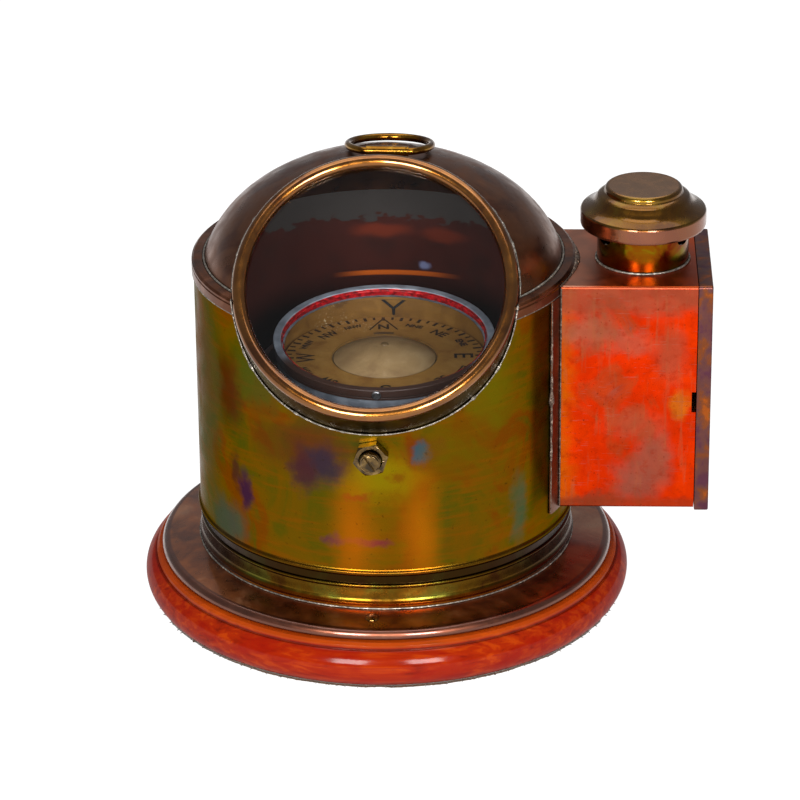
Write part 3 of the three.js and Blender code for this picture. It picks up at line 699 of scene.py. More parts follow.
def baize_look():
    look = Look("baize", roughness=0.95, specular=0.1)
    fibre = look.noise((0.6, 0.6, 0.9), detail=5)
    look.set("Base Color", look.ramp(fibre, (0.3, "#1c120a"), (0.55, "#3c2816"), (0.75, "#5a4228")))
    look.set("Sheen Weight", 0.4)
    look.bump(fibre, 0.3)
    return look.material


def grey_paint_look():
    """Blue-grey paint, with painted shade: dark brown on the bowl's rim and lip on the side towards the
    window.
    """
    look = Look("bowl_paint", roughness=0.45)
    cloud = look.noise(8, detail=5)
    colour = look.ramp(cloud, (0.35, "#666c76"), (0.65, "#868e98"))
    parts = look.axes()
    depth = look.times(parts[1], 1 / MM)
    radius, height = look.cylinder()
    # Painted shade: towards the window, from 14 to 34 mm in front of the axis, the rim and lip above
    # 17.6 mm go dark brown.
    front = look.times(look.level(depth, -14, -34), look.level(height, 17.6, 18.0))
    colour = look.blend(front, colour, "#341e14")
    chips = look.noise(1.5, detail=4, offset=(5, 2, 2))
    look.set("Base Color", look.tint(colour, chips, 0.7, 0.74, 0.8, "#2a2a2c"))
    look.rough(cloud, 0.38, 0.55)
    look.bump(look.noise(0.9, detail=3), 0.03)
    return look.material


def card_look(name, dark, mid, light):
    """Yellowed printed card with foxing and small dark specks."""
    look = Look(name, roughness=0.55, specular=0.3)
    cloud = look.noise(14, detail=5, distortion=0.4)
    colour = look.ramp(cloud, (0.3, dark), (0.5, mid), (0.7, light))
    specks = look.noise(0.8, detail=2, offset=(4, 4, 9))
    colour = look.tint(colour, specks, 0.71, 0.75, 0.7, "#5a3c1c")
    look.warp(8, 4)
    flakes = look.level(look.noise(1.3, detail=2, offset=(1, 7, 3)), 0.62, 0.66, 0.0, 0.8)
    crazed = look.spot((-22, 40, 0), (17, 9, 20), 0.5)
    colour = look.blend(look.times(flakes, crazed), colour, "#d8c8a4")
    look.set("Base Color", colour)
    look.bump(look.noise(1.0, detail=4), 0.03)
    return look.material


def paint_look(name, dark, light, roughness, metallic=0.0):
    look = Look(name, roughness=roughness, metallic=metallic)
    cloud = look.noise(2.5, detail=5)
    look.set("Base Color", look.ramp(cloud, (0.35, dark), (0.65, light)))
    look.rough(cloud, roughness * 0.8, roughness * 1.2)
    look.bump(cloud, 0.08)
    return look.material


def glass_look(name):
    """Thin clear glass: light goes straight through, and the surface mirrors a little."""
    look = Look(name)
    clear = look.add("ShaderNodeBsdfTransparent", {0: (0.96, 0.965, 0.97, 1)})
    mirror = look.add("ShaderNodeBsdfGlossy", {"Roughness": 0.02})
    front = look.math("SUBTRACT", 1.0, look.add("ShaderNodeNewGeometry").outputs["Backfacing"])
    share = look.times(look.add("ShaderNodeFresnel", {"IOR": 1.45}).outputs[0], front)
    mixed = look.add("ShaderNodeMixShader", {0: share, 1: clear.outputs[0], 2: mirror.outputs[0]})
    output = look.nodes["Material Output"]
    look.feed(output.inputs["Surface"], mixed.outputs[0])
    return look.material


def wick_look():
    look = Look("cotton", roughness=0.95)
    weave = look.noise((0.5, 0.5, 1.4), detail=3)
    look.set("Base Color", look.ramp(weave, (0.3, "#8c7a5c"), (0.6, "#d8cbae")))
    look.bump(weave, 0.3)
    return look.material


MATERIALS = {"body": body_look(), "dome": brown_copper("dome_copper", "#522f20", "#6a422b", "#7c5138"),
    "band": brown_copper("band_copper", "#482a1c", "#60361f", "#784c36", size=18),
    # Skirt: the darker rolled edge outside a radius of 117.2 mm is painted shade, which dims its
    # reflections round the sides.
    "skirt": brown_copper("skirt_bronze", "#6c3a22", "#94542c", "#b07650", size=26, lines=0.02,
    coat=0.6, roll=(117.2, "#5c3428")), "collar": brown_copper("collar_bronze", "#48280c", "#5e420e",
    "#666422", size=22, roughness=(0.16, 0.3), lines=0.01,
    # Collar: the near-black band from 45.9 to 51.5 mm is painted shade in the gap under the body's
    # bead, and the dark sides colour is painted shade away from the front.
    bands=((45.9, 51.5, "#1c1008"), (33, 36.5, "#7a3806")), sides="#2c180c"), "lamp": orange_copper(),
    "door": door_copper(), "tube": brown_copper("tube_brass", "#2c2208", "#4a3a0c", "#5c4c10", size=18,
    lines=0.01), "bezel": golden_brass("bezel_brass", "#603612", "#7a4a18", "#8a5822",
    roughness=(0.16, 0.26), coat=0.6), "shade_line_and_cap": paint_look("shade_line_and_cap_paint", "#5a4424", "#6c5430", 0.6),
    "cap": golden_brass("cap_brass", "#4c2c10", "#64400e", "#6e5214", size=24, roughness=(0.2, 0.32),
    coat=0.3, crown="#a87a54", rim="#86503c"), "chimney": golden_brass("chimney_brass", "#641c08",
    "#744206", "#706408", size=12), "carry": golden_brass("carry_brass", "#54300c", "#785018",
    "#906a26", size=12), "pivot": golden_brass("pivot_brass", "#2e2210", "#5c4622", "#8c7040", size=5,
    coat=0.4), "brass": golden_brass("fitting_brass", "#5c4020", "#846434", "#a88a58", size=6,
    roughness=(0.2, 0.34)), "solder": solder_look("solder", "#3c3834", "#6e6860", "#b4aca0"),
    "old_solder": solder_look("old_solder", "#2a1c14", "#54443a", "#96887a"), "wood": mahogany_look(),
    "baize": baize_look(), "grey": grey_paint_look(),
    "cream": card_look("bowl_cream", "#60401a", "#74501e", "#845e28"),
    "card": card_look("card_face", "#8a5c26", "#a07434", "#ae8240"),
    "disc": card_look("card_disc", "#8e704a", "#9e8056", "#ac9066"),
    "ink": paint_look("ink", "#030202", "#0a0604", 0.8),
    "seal": paint_look("red_seal", "#5c0408", "#b8141a", 0.2),
    "steel": paint_look("steel", "#6c6c6e", "#98989a", 0.35, metallic=0.9),
    "lead": paint_look("lead", "#3c3e42", "#5a5c60", 0.6, metallic=0.6),
    "glass": glass_look("window_glass"), "bowl_glass": glass_look("bowl_glass"), "cotton": wick_look(),
    }


# -------------------------------------------------------------------------- base

SCREW_SPOTS = (-90, 30, 150)


def screw_place(degrees):
    return turn(degrees, "Z") @ shift(108.2, 0, 31.2)


def make_base():
    rim = []
    for i in range(720):
        angle = math.pi * i / 360
        ragged = 0.7 * wobble(*polar(14, angle))
        fringe = 0.8 * max(0.0, wobble(*polar(90, angle, 5)))
        radius = 125.9 + ragged + fringe
        rim.append((radius * math.cos(angle), radius * math.sin(angle)))
    loops = [[(x, y, z) for x, y in rim] for z in (0.05, 1.2)]
    shapes = [lofted(loops, True)]
    for i in range(90):
        angle = math.radians(4 * i + 3 * wobble(i * 0.77, 2.1))
        along = Vector((math.cos(angle), math.sin(angle), 0))
        across = Vector((-along.y, along.x, 0)) * 1.6 * wobble(i * 1.37, 7.7)
        tip = along * (127.4 + 1.3 * wobble(i * 0.53, 4.2)) + Vector((0, 0, 0.5)) + across
        shapes.append(wire([along * 126 + Vector((0, 0, 0.6)),
            (along * 127.4 + across * 0.3) + Vector((0, 0, 0.8)), tip], [0.22, 0.2, 0.08], (0, 0, 1),
            5))
    put("baize_cloth", joined(*shapes), "base", "baize", "baize", "baize_pad")

    hole = lathe([(0, -11.3), (2.2, -11.3), (2.2, -2), (3.7, 0), (3.7, 5), (0, 5)], SMALL)
    holes = [(hole, screw_place(spot)) for spot in SCREW_SPOTS]
    wood = softened([(0, 1.5), *arc((118.85, 11), 11.79, -53, 56, 28), (124.6, 20.7), (124.5, 21.6),
        (124.4, 23.2), (123.2, 24.4), (121.6, 24.6), (0, 24.6)], 0.3, False)
    put("mahogany_base", lathe(wood, FINE), "base", "mahogany", "wood", "wood_base", cuts=holes)

    skirt = softened([(94, 32.3), (94, 30.3), (100, 30.3), (116, 27.6), (118.4, 24.9), (120.7, 24.9),
        *arc((117.7, 26.3), 3.6, -12, 80, 14), (100.4, 32.3)], 0.3)
    put("bronze_skirt", lathe(skirt, FINE), "base", "bronze", "skirt", "base_skirt", cuts=holes)

    collar = softened([(95.9, 32.6), (100.3, 32.6), (100.5, 33.2), (100.3, 33.9),
        *arc((103.4, 38.9), 4.3, 232, 186, 8), (99.05, 40.4), (99.1, 43.5), (99.5, 44.1),
        *arc((99.1, 45.0), 0.85, -50, 60, 8), (98.6, 46.2), (98.6, 50.7), (97.4, 50.7), (97.4, 57),
        (95.9, 57)], 0.25)
    put("moulded_collar", lathe(collar, FINE), "base", "bronze", "collar", "base_collar")
    foot = circle(100.75, 32.75, 360)
    thick = [0.42 + 0.14 * wobble(i * 0.11, 3) for i in range(360)]
    put("collar_solder", wire(foot, thick, (0, 0, 1), 8, True), "base", "steel", "solder")

    for i, spot in enumerate(SCREW_SPOTS):
        head = lathe(softened([(0, -11), (1.2, -10.6), (1.9, -8), (1.9, -2), (3.4, -0.1), (3.2, 0.25),
            (0, 0.5)], 0.15, False), SMALL)
        slot = block((-4, -0.5, -0.8), (4, 0.5, 2))
        screw = carve(build(f"skirt_screw_{i + 1}", head, screw_place(spot)),
            (slot, screw_place(spot) @ turn(30 * i + 25, "Z")))
        dress(screw, "base", "fitting_brass", "brass", f"base_screw_{i + 1}")


# ------------------------------------------------------------------------- cover

def dome_arc(grow, foot, steps=30):
    """The dome's elliptic outline from its foot up to the axis."""
    across, up = DOME_R + grow, DOME_H + grow
    start = math.asin((foot - DOME_CENTRE) / up)
    points = []
    for i in range(steps + 1):
        angle = start + (math.pi / 2 - start) * i / steps
        radius = 0 if i == steps else across * math.cos(angle)
        points.append((radius, DOME_CENTRE + up * math.sin(angle)))
    return points


def outside(point):
    """How far a point lies outside the cover's surface, below 0 inside."""
    radius = math.hypot(point.x, point.y)
    if point.z < BAND_BOTTOM:
        return radius - BODY_R
    if point.z < 191.4:
        return radius - BAND_R
    return math.hypot(radius / DOME_R, (point.z - DOME_CENTRE) / DOME_H) * DOME_R - DOME_R


def seam_depth(angle, radius):
    """How deep below the bezel's plane the cover's surface lies at an angle round the window."""
    depth = -14.0
    while depth < 45:
        if outside(WINDOW @ Vector(polar(radius, angle, -depth))) < 0:
            return depth
        depth += 0.05
    return 45.0


def make_cover():
    window = (plug(WINDOW_HOLE_R, -45, 40, FINE), WINDOW)
    port = (block((80, -17, 141), (115, 17, 169)), LAMP)
    pivots = (plug(5.3, -120, 120, SMALL), PIVOT_FRONT)
    rows = 36
    wall = [(BODY_R, 55.2 + (BODY_TOP - 55.2) * i / rows) for i in range(rows + 1)]
    lining = [(BODY_R - BODY_WALL, z) for _, z in reversed(wall)]
    shell = softened([(98.6, 51), (100.2, 51), *arc((99.5, 52.75), 1.7, -52, 62, 10), (100.05, 54.8),
        *wall, *lining], 0.25)
    put("brass_body", lathe(shell, FINE), "cover", "body_brass", "body", "body_shell",
        cuts=[window, port, pivots])

    band = softened([(100.3, 184.4), (BAND_R, 184.5), (BAND_R, 188.8), (100.5, 189.3), (100.5, 189.5),
        (BAND_R, 189.9), (BAND_R, 190.9), (99.75, 191.9), (95.3, 192.2), (95.3, 190.3), (100.3, 190.3)],
        0.35)
    put("rim_moulding", lathe(band, FINE), "cover", "dome_copper", "band", "rim_band", cuts=[window])

    dome = [*reversed(dome_arc(-DOME_WALL, DOME_FOOT)), *dome_arc(0, DOME_FOOT)]
    put("copper_dome", lathe(dome, FINE), "cover", "dome_copper", "dome", "hood_dome", cuts=[window])

    beads = []
    for height, radius, size in ((184.3, 100.55, 0.4), (192.25, 94.55, 0.55)):
        ring = [(radius * math.cos(math.pi * i / 240), radius * math.sin(math.pi * i / 240),
            height + 0.12 * wobble(i * 0.07, radius)) for i in range(480)]
        beads.append(wire(ring, [size * (1 + 0.35 * wobble(i * 0.19, height)) for i in range(480)],
            (0, 0, 1), 8, True))
    put("rim_solder", joined(*beads), "cover", "steel", "solder", cuts=[window])


def make_window():
    below = -BEZEL_TUBE * math.sin(math.radians(25))
    core = lathe([(0, 46), (94, 46), (94, 186), *dome_arc(-6, 186.2)], FINE)
    rows = [below - GAP - 1.8 * i for i in range(24)] + [-45]
    tube = [(WINDOW_TUBE_R, z) for z in rows]
    tube += [(WINDOW_TUBE_R - WINDOW_TUBE_WALL, z) for z in reversed(rows)]
    collar = carve(build("window_tube", lathe(tube, FINE), WINDOW), (core, HERE))
    dress(collar, "cover", "body_brass", "tube", "window_collar")

    bezel = arc((BEZEL_R, 0), BEZEL_TUBE, -25, 205, 26)
    ring = moved(lathe(softened(bezel, 0.2), FINE), WINDOW)
    put("bezel_ring", ring, "cover", "polished_brass", "bezel", "window_bezel")

    pane = WINDOW_TUBE_R - WINDOW_TUBE_WALL - 2 * GAP
    put("window_pane", rod(pane, GLASS_TOP - GLASS_T, GLASS_TOP, FINE), "cover", "clear_glass", "glass",
        "window_glass", place=WINDOW)
    clamp = GLASS_TOP - GLASS_T - GAP
    put("pane_clamp", pipe(pane, pane - 2.6, clamp - 2.2, clamp), "cover", "body_brass", "tube",
        "window_clamp_ring", place=WINDOW)

    path = []
    sizes = []
    for i in range(540):
        angle = 2 * math.pi * i / 540
        uneven = wobble(*polar(7, angle, 3))
        lumps = max(0.0, wobble(*polar(23, angle, 9)) - 0.1)
        radius = WINDOW_HOLE_R + 0.25
        depth = seam_depth(angle, radius)
        path.append(polar(radius, angle, -depth + 0.1))
        sizes.append(0.36 + 0.15 * uneven + 1.0 * lumps)
    seam = moved(wire(path, sizes, (0, 0, 1), 10, True), WINDOW)
    put("window_solder", seam, "cover", "steel", "solder")


def make_carry_ring():
    bore = 2.25
    half = 11.1
    barrel = softened([(bore, -half), (2.7, -half), (2.7, half - 1.6), (2.45, half - 1.4),
        (2.45, half - 1.2), (2.7, half - 1.0), (2.7, half), (bore, half)], 0.2)
    put("ring_barrel", lathe(barrel, SMALL), "cover", "polished_brass", "carry", "carry_ring_barrel",
        place=shift(2.4, 3, 247.25) @ turn(90, "Y"))

    mean = 21.85
    straight = half + 1.4
    setback = math.sqrt(mean ** 2 - straight ** 2)
    start = -math.pi / 2 + math.asin(straight / mean)
    sweep = 2 * math.pi - 2 * math.asin(straight / mean)
    path = []
    for i in range(97):
        angle = start + sweep * i / 96
        path.append((mean * math.cos(angle), setback + mean * math.sin(angle), 0))
    for i in range(1, 12):
        path.append((-straight + 2 * straight * i / 12, 0, 0))
    put("lifting_ring", wire(path, 2.0, (0, 0, 1), 20, True), "carry_ring", "polished_brass", "carry",
        "carry_ring", place=CARRY, sharp=60)


# ---------------------------------------------------------------- gimbal and bowl

def thread(radius, depth, pitch, low, high, segments=SMALL, rows_per_pitch=8):
    """A rod with a helical thread."""
    rows = int((high - low) / pitch * rows_per_pitch)
    loops = []
    for i in range(rows + 1):
        z = low + (high - low) * i / rows
        fade = min(1.0, i / 6, (rows - i) / 6)
        loop = []
        for j in range(segments):
            phase = (z / pitch - j / segments) % 1
            r = radius - depth * fade * abs(2 * phase - 1) - (1 - fade) * 0.3
            angle = 2 * math.pi * j / segments
            loop.append(polar(r, angle, z))
        loops.append(loop)
    return lofted(loops, True)


def make_pivot(place, name):
    seat = BODY_R + GAP
    tip = seat + 9.5
    stem = lathe(softened([(0, 65.4), (1.8, 65.4), (2.4, 66.2), (2.4, 69.6), (5, 71.2), (5, seat + 5.2),
        (0, seat + 5.2)], 0.2, False), SMALL)
    end = thread(5.45, 0.35, 1.25, seat + 5.0, tip - 0.6)
    crown = lathe(softened([(0, tip - 0.8), (5.0, tip - 0.8), (4.3, tip), (0, tip + 0.05)], 0.3, False),
        SMALL)
    screw = carve(build(f"pivot_screw_{name}_body", stem, place), (end, place), (crown, place),
        how="UNION")
    slot = block((-8, -0.7, tip - 1.6), (8, 0.7, tip + 3))
    carve(screw, (slot, place @ turn(125, "Z")))
    dress(screw, "cover", "fitting_brass", "pivot", f"pivot_screw_{name}")

    across = 8 / math.cos(math.pi / 6)
    hexagon = plug(across, seat + 0.2, seat + 5.4, 6)
    crowned = lathe([(0, seat - 1), (9.6, seat - 1), (9.6, seat + 4.3), (8.0, seat + 5.4),
        (0, seat + 5.4)], MEDIUM)
    bore = lathe(softened([(0, 90), (5.75, 90), (5.75, seat + 4.8), (6.6, seat + 6), (0, seat + 6)],
        0.1, False), SMALL)
    nut = carve(build(f"lock_nut_{name}", hexagon, place @ turn(12, "Z")), (crowned, place),
        how="INTERSECT")
    carve(nut, (bore, place))
    dress(nut, "cover", "fitting_brass", "pivot", f"pivot_nut_{name}", sharp=20, bevel=0.18)


def make_gimbal():
    ring = build("gimbal_hoop", pipe(68.2, 64.8, -6, 6, FINE, 0.5), shift(0, 0, PIVOT_Z))
    hole = plug(2.65, -80, 80, SMALL)
    carve(ring, (hole, PIVOT_FRONT), (hole, shift(0, 0, PIVOT_Z) @ turn(90, "Y")))
    dress(ring, "gimbal", "grey_paint", "grey", "gimbal_ring")


def make_bowl():
    inner = BOWL_R - BOWL_WALL
    shell = softened([(0, -39.3), *arc((inner - 22, -17.3), 22, -90, 0, 16), (inner, 17.8),
        (53.2, 18.2), (53.2, BOWL_LIP), (58.6, BOWL_LIP), (58.6, 18.2), (BOWL_R, 17.8),
        *arc((BOWL_R - 22, -19), 22, 0, -90, 16), (0, -41)], 0.3, False)
    put("bowl_pan", lathe(shell, FINE), "bowl", "grey_paint", "grey", "bowl_shell", place=BOWL)
    lining = [(inner - 0.35, 2), (inner - 0.08, 2), (inner - 0.08, 17.6), (inner - 0.35, 17.7)]
    lip = [(52.85, 18.1), (53.1, 18.1), (53.1, BOWL_LIP + 0.1), (52.85, BOWL_LIP + 0.1)]
    put("bowl_inner_paint", joined(lathe(lining, FINE), lathe(lip, FINE)), "bowl", "card_face", "cream",
        place=BOWL)

    low = BOWL_LIP + GAP
    ring_in = BOWL_GLASS_R + 0.4
    ring = softened([(ring_in, low), (BOWL_RING_R, low), (BOWL_RING_R, BOWL_RING_TOP),
        (ring_in, BOWL_RING_TOP)], 0.6)
    put("bowl_rim", lathe(ring, FINE), "bowl", "grey_paint", "grey", "bowl_bezel_ring", place=BOWL)
    glass = low + 2.5
    put("bowl_pane", rod(BOWL_GLASS_R, low, glass, FINE), "bowl", "clear_glass", "bowl_glass",
        "bowl_glass", place=BOWL)

    path = []
    sizes = []
    for i in range(480):
        angle = 2 * math.pi * i / 480
        drift = wobble(*polar(9, angle, 1))
        lumps = max(0.0, wobble(*polar(20, angle, 4)) - 0.15)
        radius = 53.75 + 0.3 * drift
        path.append(polar(radius, angle, glass + 0.6))
        far = max(0.0, math.sin(angle))
        sizes.append(max(0.25, 0.3 + far * (0.25 + 0.25 * drift + 1.5 * lumps)))

    bed = lathe([(BOWL_GLASS_R + 0.05, low), (BOWL_GLASS_R + 0.35, low),
        (BOWL_GLASS_R + 0.35, glass + 1.4), (BOWL_GLASS_R + 0.05, glass + 0.9)], FINE)
    put("red_seal", joined(wire(path, sizes, (0, 0, 1), 10, True), bed), "bowl", "red_putty", "seal",
        "bowl_seal", place=BOWL)

    put("lead_ballast", rod(26, -49.3, -41.3, MEDIUM, 1.2), "bowl", "lead", "lead", "bowl_ballast",
        place=BOWL)
    post = softened([(0, -39), (5, -39), (5, -36.5), (1.6, -34.5), (1.6, -1), (0, 1.5)], 0.3, False)
    put("jewel_post", lathe(post, SMALL), "bowl", "fitting_brass", "brass", "card_pivot_post",
        place=BOWL)

    filler_place = BOWL @ shift(0, -BOWL_RING_R - 0.2, 21.8) @ turn(90, "X")
    filler = lathe(softened([(0, 0), (2.4, 0), (2.4, 0.6), (1.9, 1), (0, 1.05)], 0.2, False), SMALL)
    screw = carve(build("filler_plug", filler, filler_place),
        (block((-3, -0.3, 0.5), (3, 0.3, 2)), filler_place @ turn(40, "Z")))
    dress(screw, "bowl", "steel", "steel", "bowl_filler_screw")

    for side, name in ((-1, "left"), (1, "right")):
        pin = softened([(0, 57.3), (5, 57.3), (5, 58.8), (2.4, 59.6), (2.4, 67.2), (0, 67.2)], 0.25,
            False)
        put(f"bowl_trunnion_{name}", lathe(pin, SMALL), "bowl", "fitting_brass", "brass",
            f"bowl_pin_{name}", place=BOWL @ turn(90 * side, "Y"))

    wall = inner - 0.55
    mark = []
    for a, b, thick in (((-5.0, 17.3), (1.2, 11.6), 0.72), ((7.4, 17.3), (1.2, 11.6), 0.72),
            ((1.2, 11.6), (1.2, 8.0), 0.85), ((-5.0, 17.3), (7.4, 17.3), 0.35)):
        line = []
        for k in range(7):
            x = a[0] + (b[0] - a[0]) * k / 6
            line.append((x, math.sqrt(wall ** 2 - x * x), a[1] + (b[1] - a[1]) * k / 6))
        mark.append(wire(line, thick, (0, 1, 0.01), 8))
    put("lubber_mark", joined(*mark), "bowl", "card_face", "ink", place=BOWL)


# -------------------------------------------------------------------------- card

POINTS = "N NNE NE ENE E ESE SE SSE S SSW SW WSW W WNW NW NNW".split()
TICKS = 64


def radial(degrees, radius):
    """The place on the card at an angle clockwise from its north, its Y axis pointing out."""
    return turn(CARD_TURN - degrees, "Z") @ shift(0, radius, CARD_TOP)


def point_style(text):
    """The size, radius and weight of a compass point's letters."""
    if text == "N":
        return 9.0, 39.6, 0.28
    if len(text) == 1:
        return 14.5, 41.5, 0.1
    if len(text) == 2:
        return 8.2, 42, 0.22
    return (4.9, 43.2, 0.2) if text[0] in "NS" else (5.4, 44.6, 0.2)


def make_card():
    dial = softened([(FLOAT_R + GAP, -0.4), (CARD_R, -0.4), (CARD_R, CARD_TOP),
        (FLOAT_R + GAP, CARD_TOP)], 0.15)
    put("card_dial", lathe(dial, FINE), "card", "card_face", "card", "compass_card", place=CARD)

    crown = (FLOAT_R ** 2 + FLOAT_RISE ** 2) / (2 * FLOAT_RISE)
    half = math.degrees(math.asin(FLOAT_R / crown))
    dome = softened([(0, -5), (2.4, -8.5), (8, -8.5), (FLOAT_R - 4, -3),
        *arc((0, FLOAT_RISE - crown), crown, 90 - half, 90, 24)], 0.3, False)
    dome[-1] = (0, FLOAT_RISE)
    put("card_crown", lathe(dome, MEDIUM), "card", "card_face", "disc", "card_float", place=CARD)

    marks = []
    for i in range(TICKS):
        long = 4.4 if i % 2 == 0 else 3.2
        wide = 1.7 if i % 2 == 0 else 1.3
        tick = block((-wide / 2, -long, -0.02), (wide / 2, 0, 0.07))
        marks.append(moved(tick, radial(i * 360 / TICKS, CARD_R - 0.5)))
    for i, text in enumerate(POINTS):
        size, radius, weight = point_style(text)
        narrow = Matrix.Diagonal((0.78 if "W" in text else 0.95, 1, 1, 1))
        marks.append(moved(lettering(text, size, weight),
            radial(360 * i / len(POINTS), radius) @ narrow))
    arrow = [(-7.5, 36), (0, 51), (7.5, 36)]
    for a, b in zip(arrow, arrow[1:]):
        line = [(a[0], a[1], CARD_TOP), (b[0], b[1], CARD_TOP)]
        marks.append(moved(wire(line, 0.4, (0, 0, 1), 6), turn(CARD_TURN, "Z")))
    for radius in (30.6, 32.0):
        sweep = [radial(5 * k - 10, radius).translation for k in range(5)]
        marks.append(wire(sweep, 0.26, (0, 0, 1), 6))
    put("card_print", joined(*marks), "card", "card_face", "ink", place=CARD)

    # A thin brown wire round the float's edge is painted shade where the float rises from the card; the
    # small cap on the float's top is the jewel cap.
    edge = circle(28.1, CARD_TOP + 0.05, 144)
    cap = lathe(softened([(0, 7.2), (2.3, 7.2), (1.8, 8.2), (0, 8.4)], 0.3, False), SMALL)
    put("float_shade_line_and_cap", joined(wire(edge, 0.14, (0, 0, 1), 8, True), cap), "card", "card_face",
        "shade_line_and_cap", place=CARD)

    for side, name in ((-1, "left"), (1, "right")):
        bar = block((33 * side - 2.5, -30, -4.4), (33 * side + 2.5, 30, -0.7))
        put(f"magnet_{name}", bar, "card", "steel", "steel", f"card_magnet_{name}", place=CARD,
            bevel=0.4)


# ---------------------------------------------------------------------- lamp box

def box_loops(sections, half, low, high, radius):
    """Loops round a box's outline: for each (inset, x) the outline shrunk by the inset."""
    loops = []
    for inset, x in sections:
        corner = max(0.25, radius - inset)
        ring = outline(half - inset, low + inset, high - inset, corner)
        loops.append([(x, y, z) for y, z in ring])
    return loops


def make_lamp_box():
    steps = [80, *range(92, 163, 6), LAMP_END]
    sections = [(0, x) for x in steps] + [(LAMP_SHEET, x) for x in reversed(steps)]
    box = build("lamp_case", lofted(box_loops(sections, LAMP_HALF, LAMP_BOTTOM, LAMP_TOP, 1.5), False),
        LAMP)
    body = plug(LAMP_FOOT_R, 40, 200, FINE)
    flue = plug(CHIMNEY_R - LAMP_SHEET, 170, 200, MEDIUM)
    notch = block((LAMP_END - 2.2, -LAMP_HALF - 1, 118.2), (200, -LAMP_HALF + LAMP_SHEET + 0.2, 129.7))
    carve(box, (body, LAMP), (flue, CHIMNEY), (notch, LAMP))
    dress(box, "cover", "lamp_copper", "lamp", "lamp_box", sharp=28)

    sheet = build("case_flange", lathe([(100.3, 62.2), (101.15, 62.2), (101.15, 183.9), (100.3, 183.9)],
        2 * FINE), LAMP)
    carve(sheet, (block((70, -48, 0), (120, 48, 200)), LAMP), how="INTERSECT")
    carve(sheet, (block((70, -37, 65.8), (120, 37, 181)), LAMP))
    dress(sheet, "cover", "lamp_copper", "band", "lamp_box_flange")

    seams = []
    for side in (-1, 1):
        foot = math.degrees(math.asin(48.3 / 101))
        edge = []
        sizes = []
        for i in range(120):
            z = 62.8 + 120.7 * i / 119
            angle = math.radians(side * (foot + 0.25 * wobble(i * 0.2, side)))
            edge.append(polar(101, angle, z))
            middle = max(0.0, 1 - abs(z - 125) / 48)
            lump = 0.3 + 0.2 * wobble(i * 0.37, side * 5) + 1.2 * middle * (0.5 + wobble(i * 0.13, 8))
            sizes.append(max(0.2, min(1.7, lump)))
        seams.append(wire(edge, sizes, (1, 0, 0), 10))
    reach = math.degrees(math.asin(LAMP_HALF / LAMP_FOOT_R))
    top = []
    sizes = []
    for i in range(140):
        angle = math.radians(-reach + 2 * reach * i / 139)
        top.append(polar(LAMP_FOOT_R, angle, LAMP_TOP + 0.2))
        patch = max(0.0, 1 - abs(math.degrees(angle) + 2) / 13)
        sizes.append(max(0.3, 0.6 + 0.35 * wobble(i * 0.3,
            2) + 1.9 * patch * (0.7 + 0.6 * wobble(i * 0.5, 6))))
    seams.append(wire(top, sizes, (0, 0, 1), 10))
    put("case_solder", joined(*seams), "cover", "steel", "old_solder", place=LAMP)

    line = []
    for i in range(60):
        z = LAMP_BOTTOM + 1 + (LAMP_TOP - LAMP_BOTTOM - 2) * i / 59
        x = math.sqrt(LAMP_FOOT_R ** 2 - LAMP_HALF ** 2)
        line.append((x + 0.2, -LAMP_HALF - 0.15, z))
    sizes = [0.42 + 0.12 * wobble(i * 0.4, 1) for i in range(60)]
    put("case_front_solder", wire(line, sizes, (0, 1, 0), 8), "cover", "steel", "old_solder",
        place=LAMP)

    for node, slot, look in (("light_port_frame", "fitting_brass", "brass"),
            ("light_port_glass", "clear_glass", "bowl_glass")):
        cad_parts[node].data.materials.clear()
        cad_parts[node].data.materials.append(MATERIALS[look])


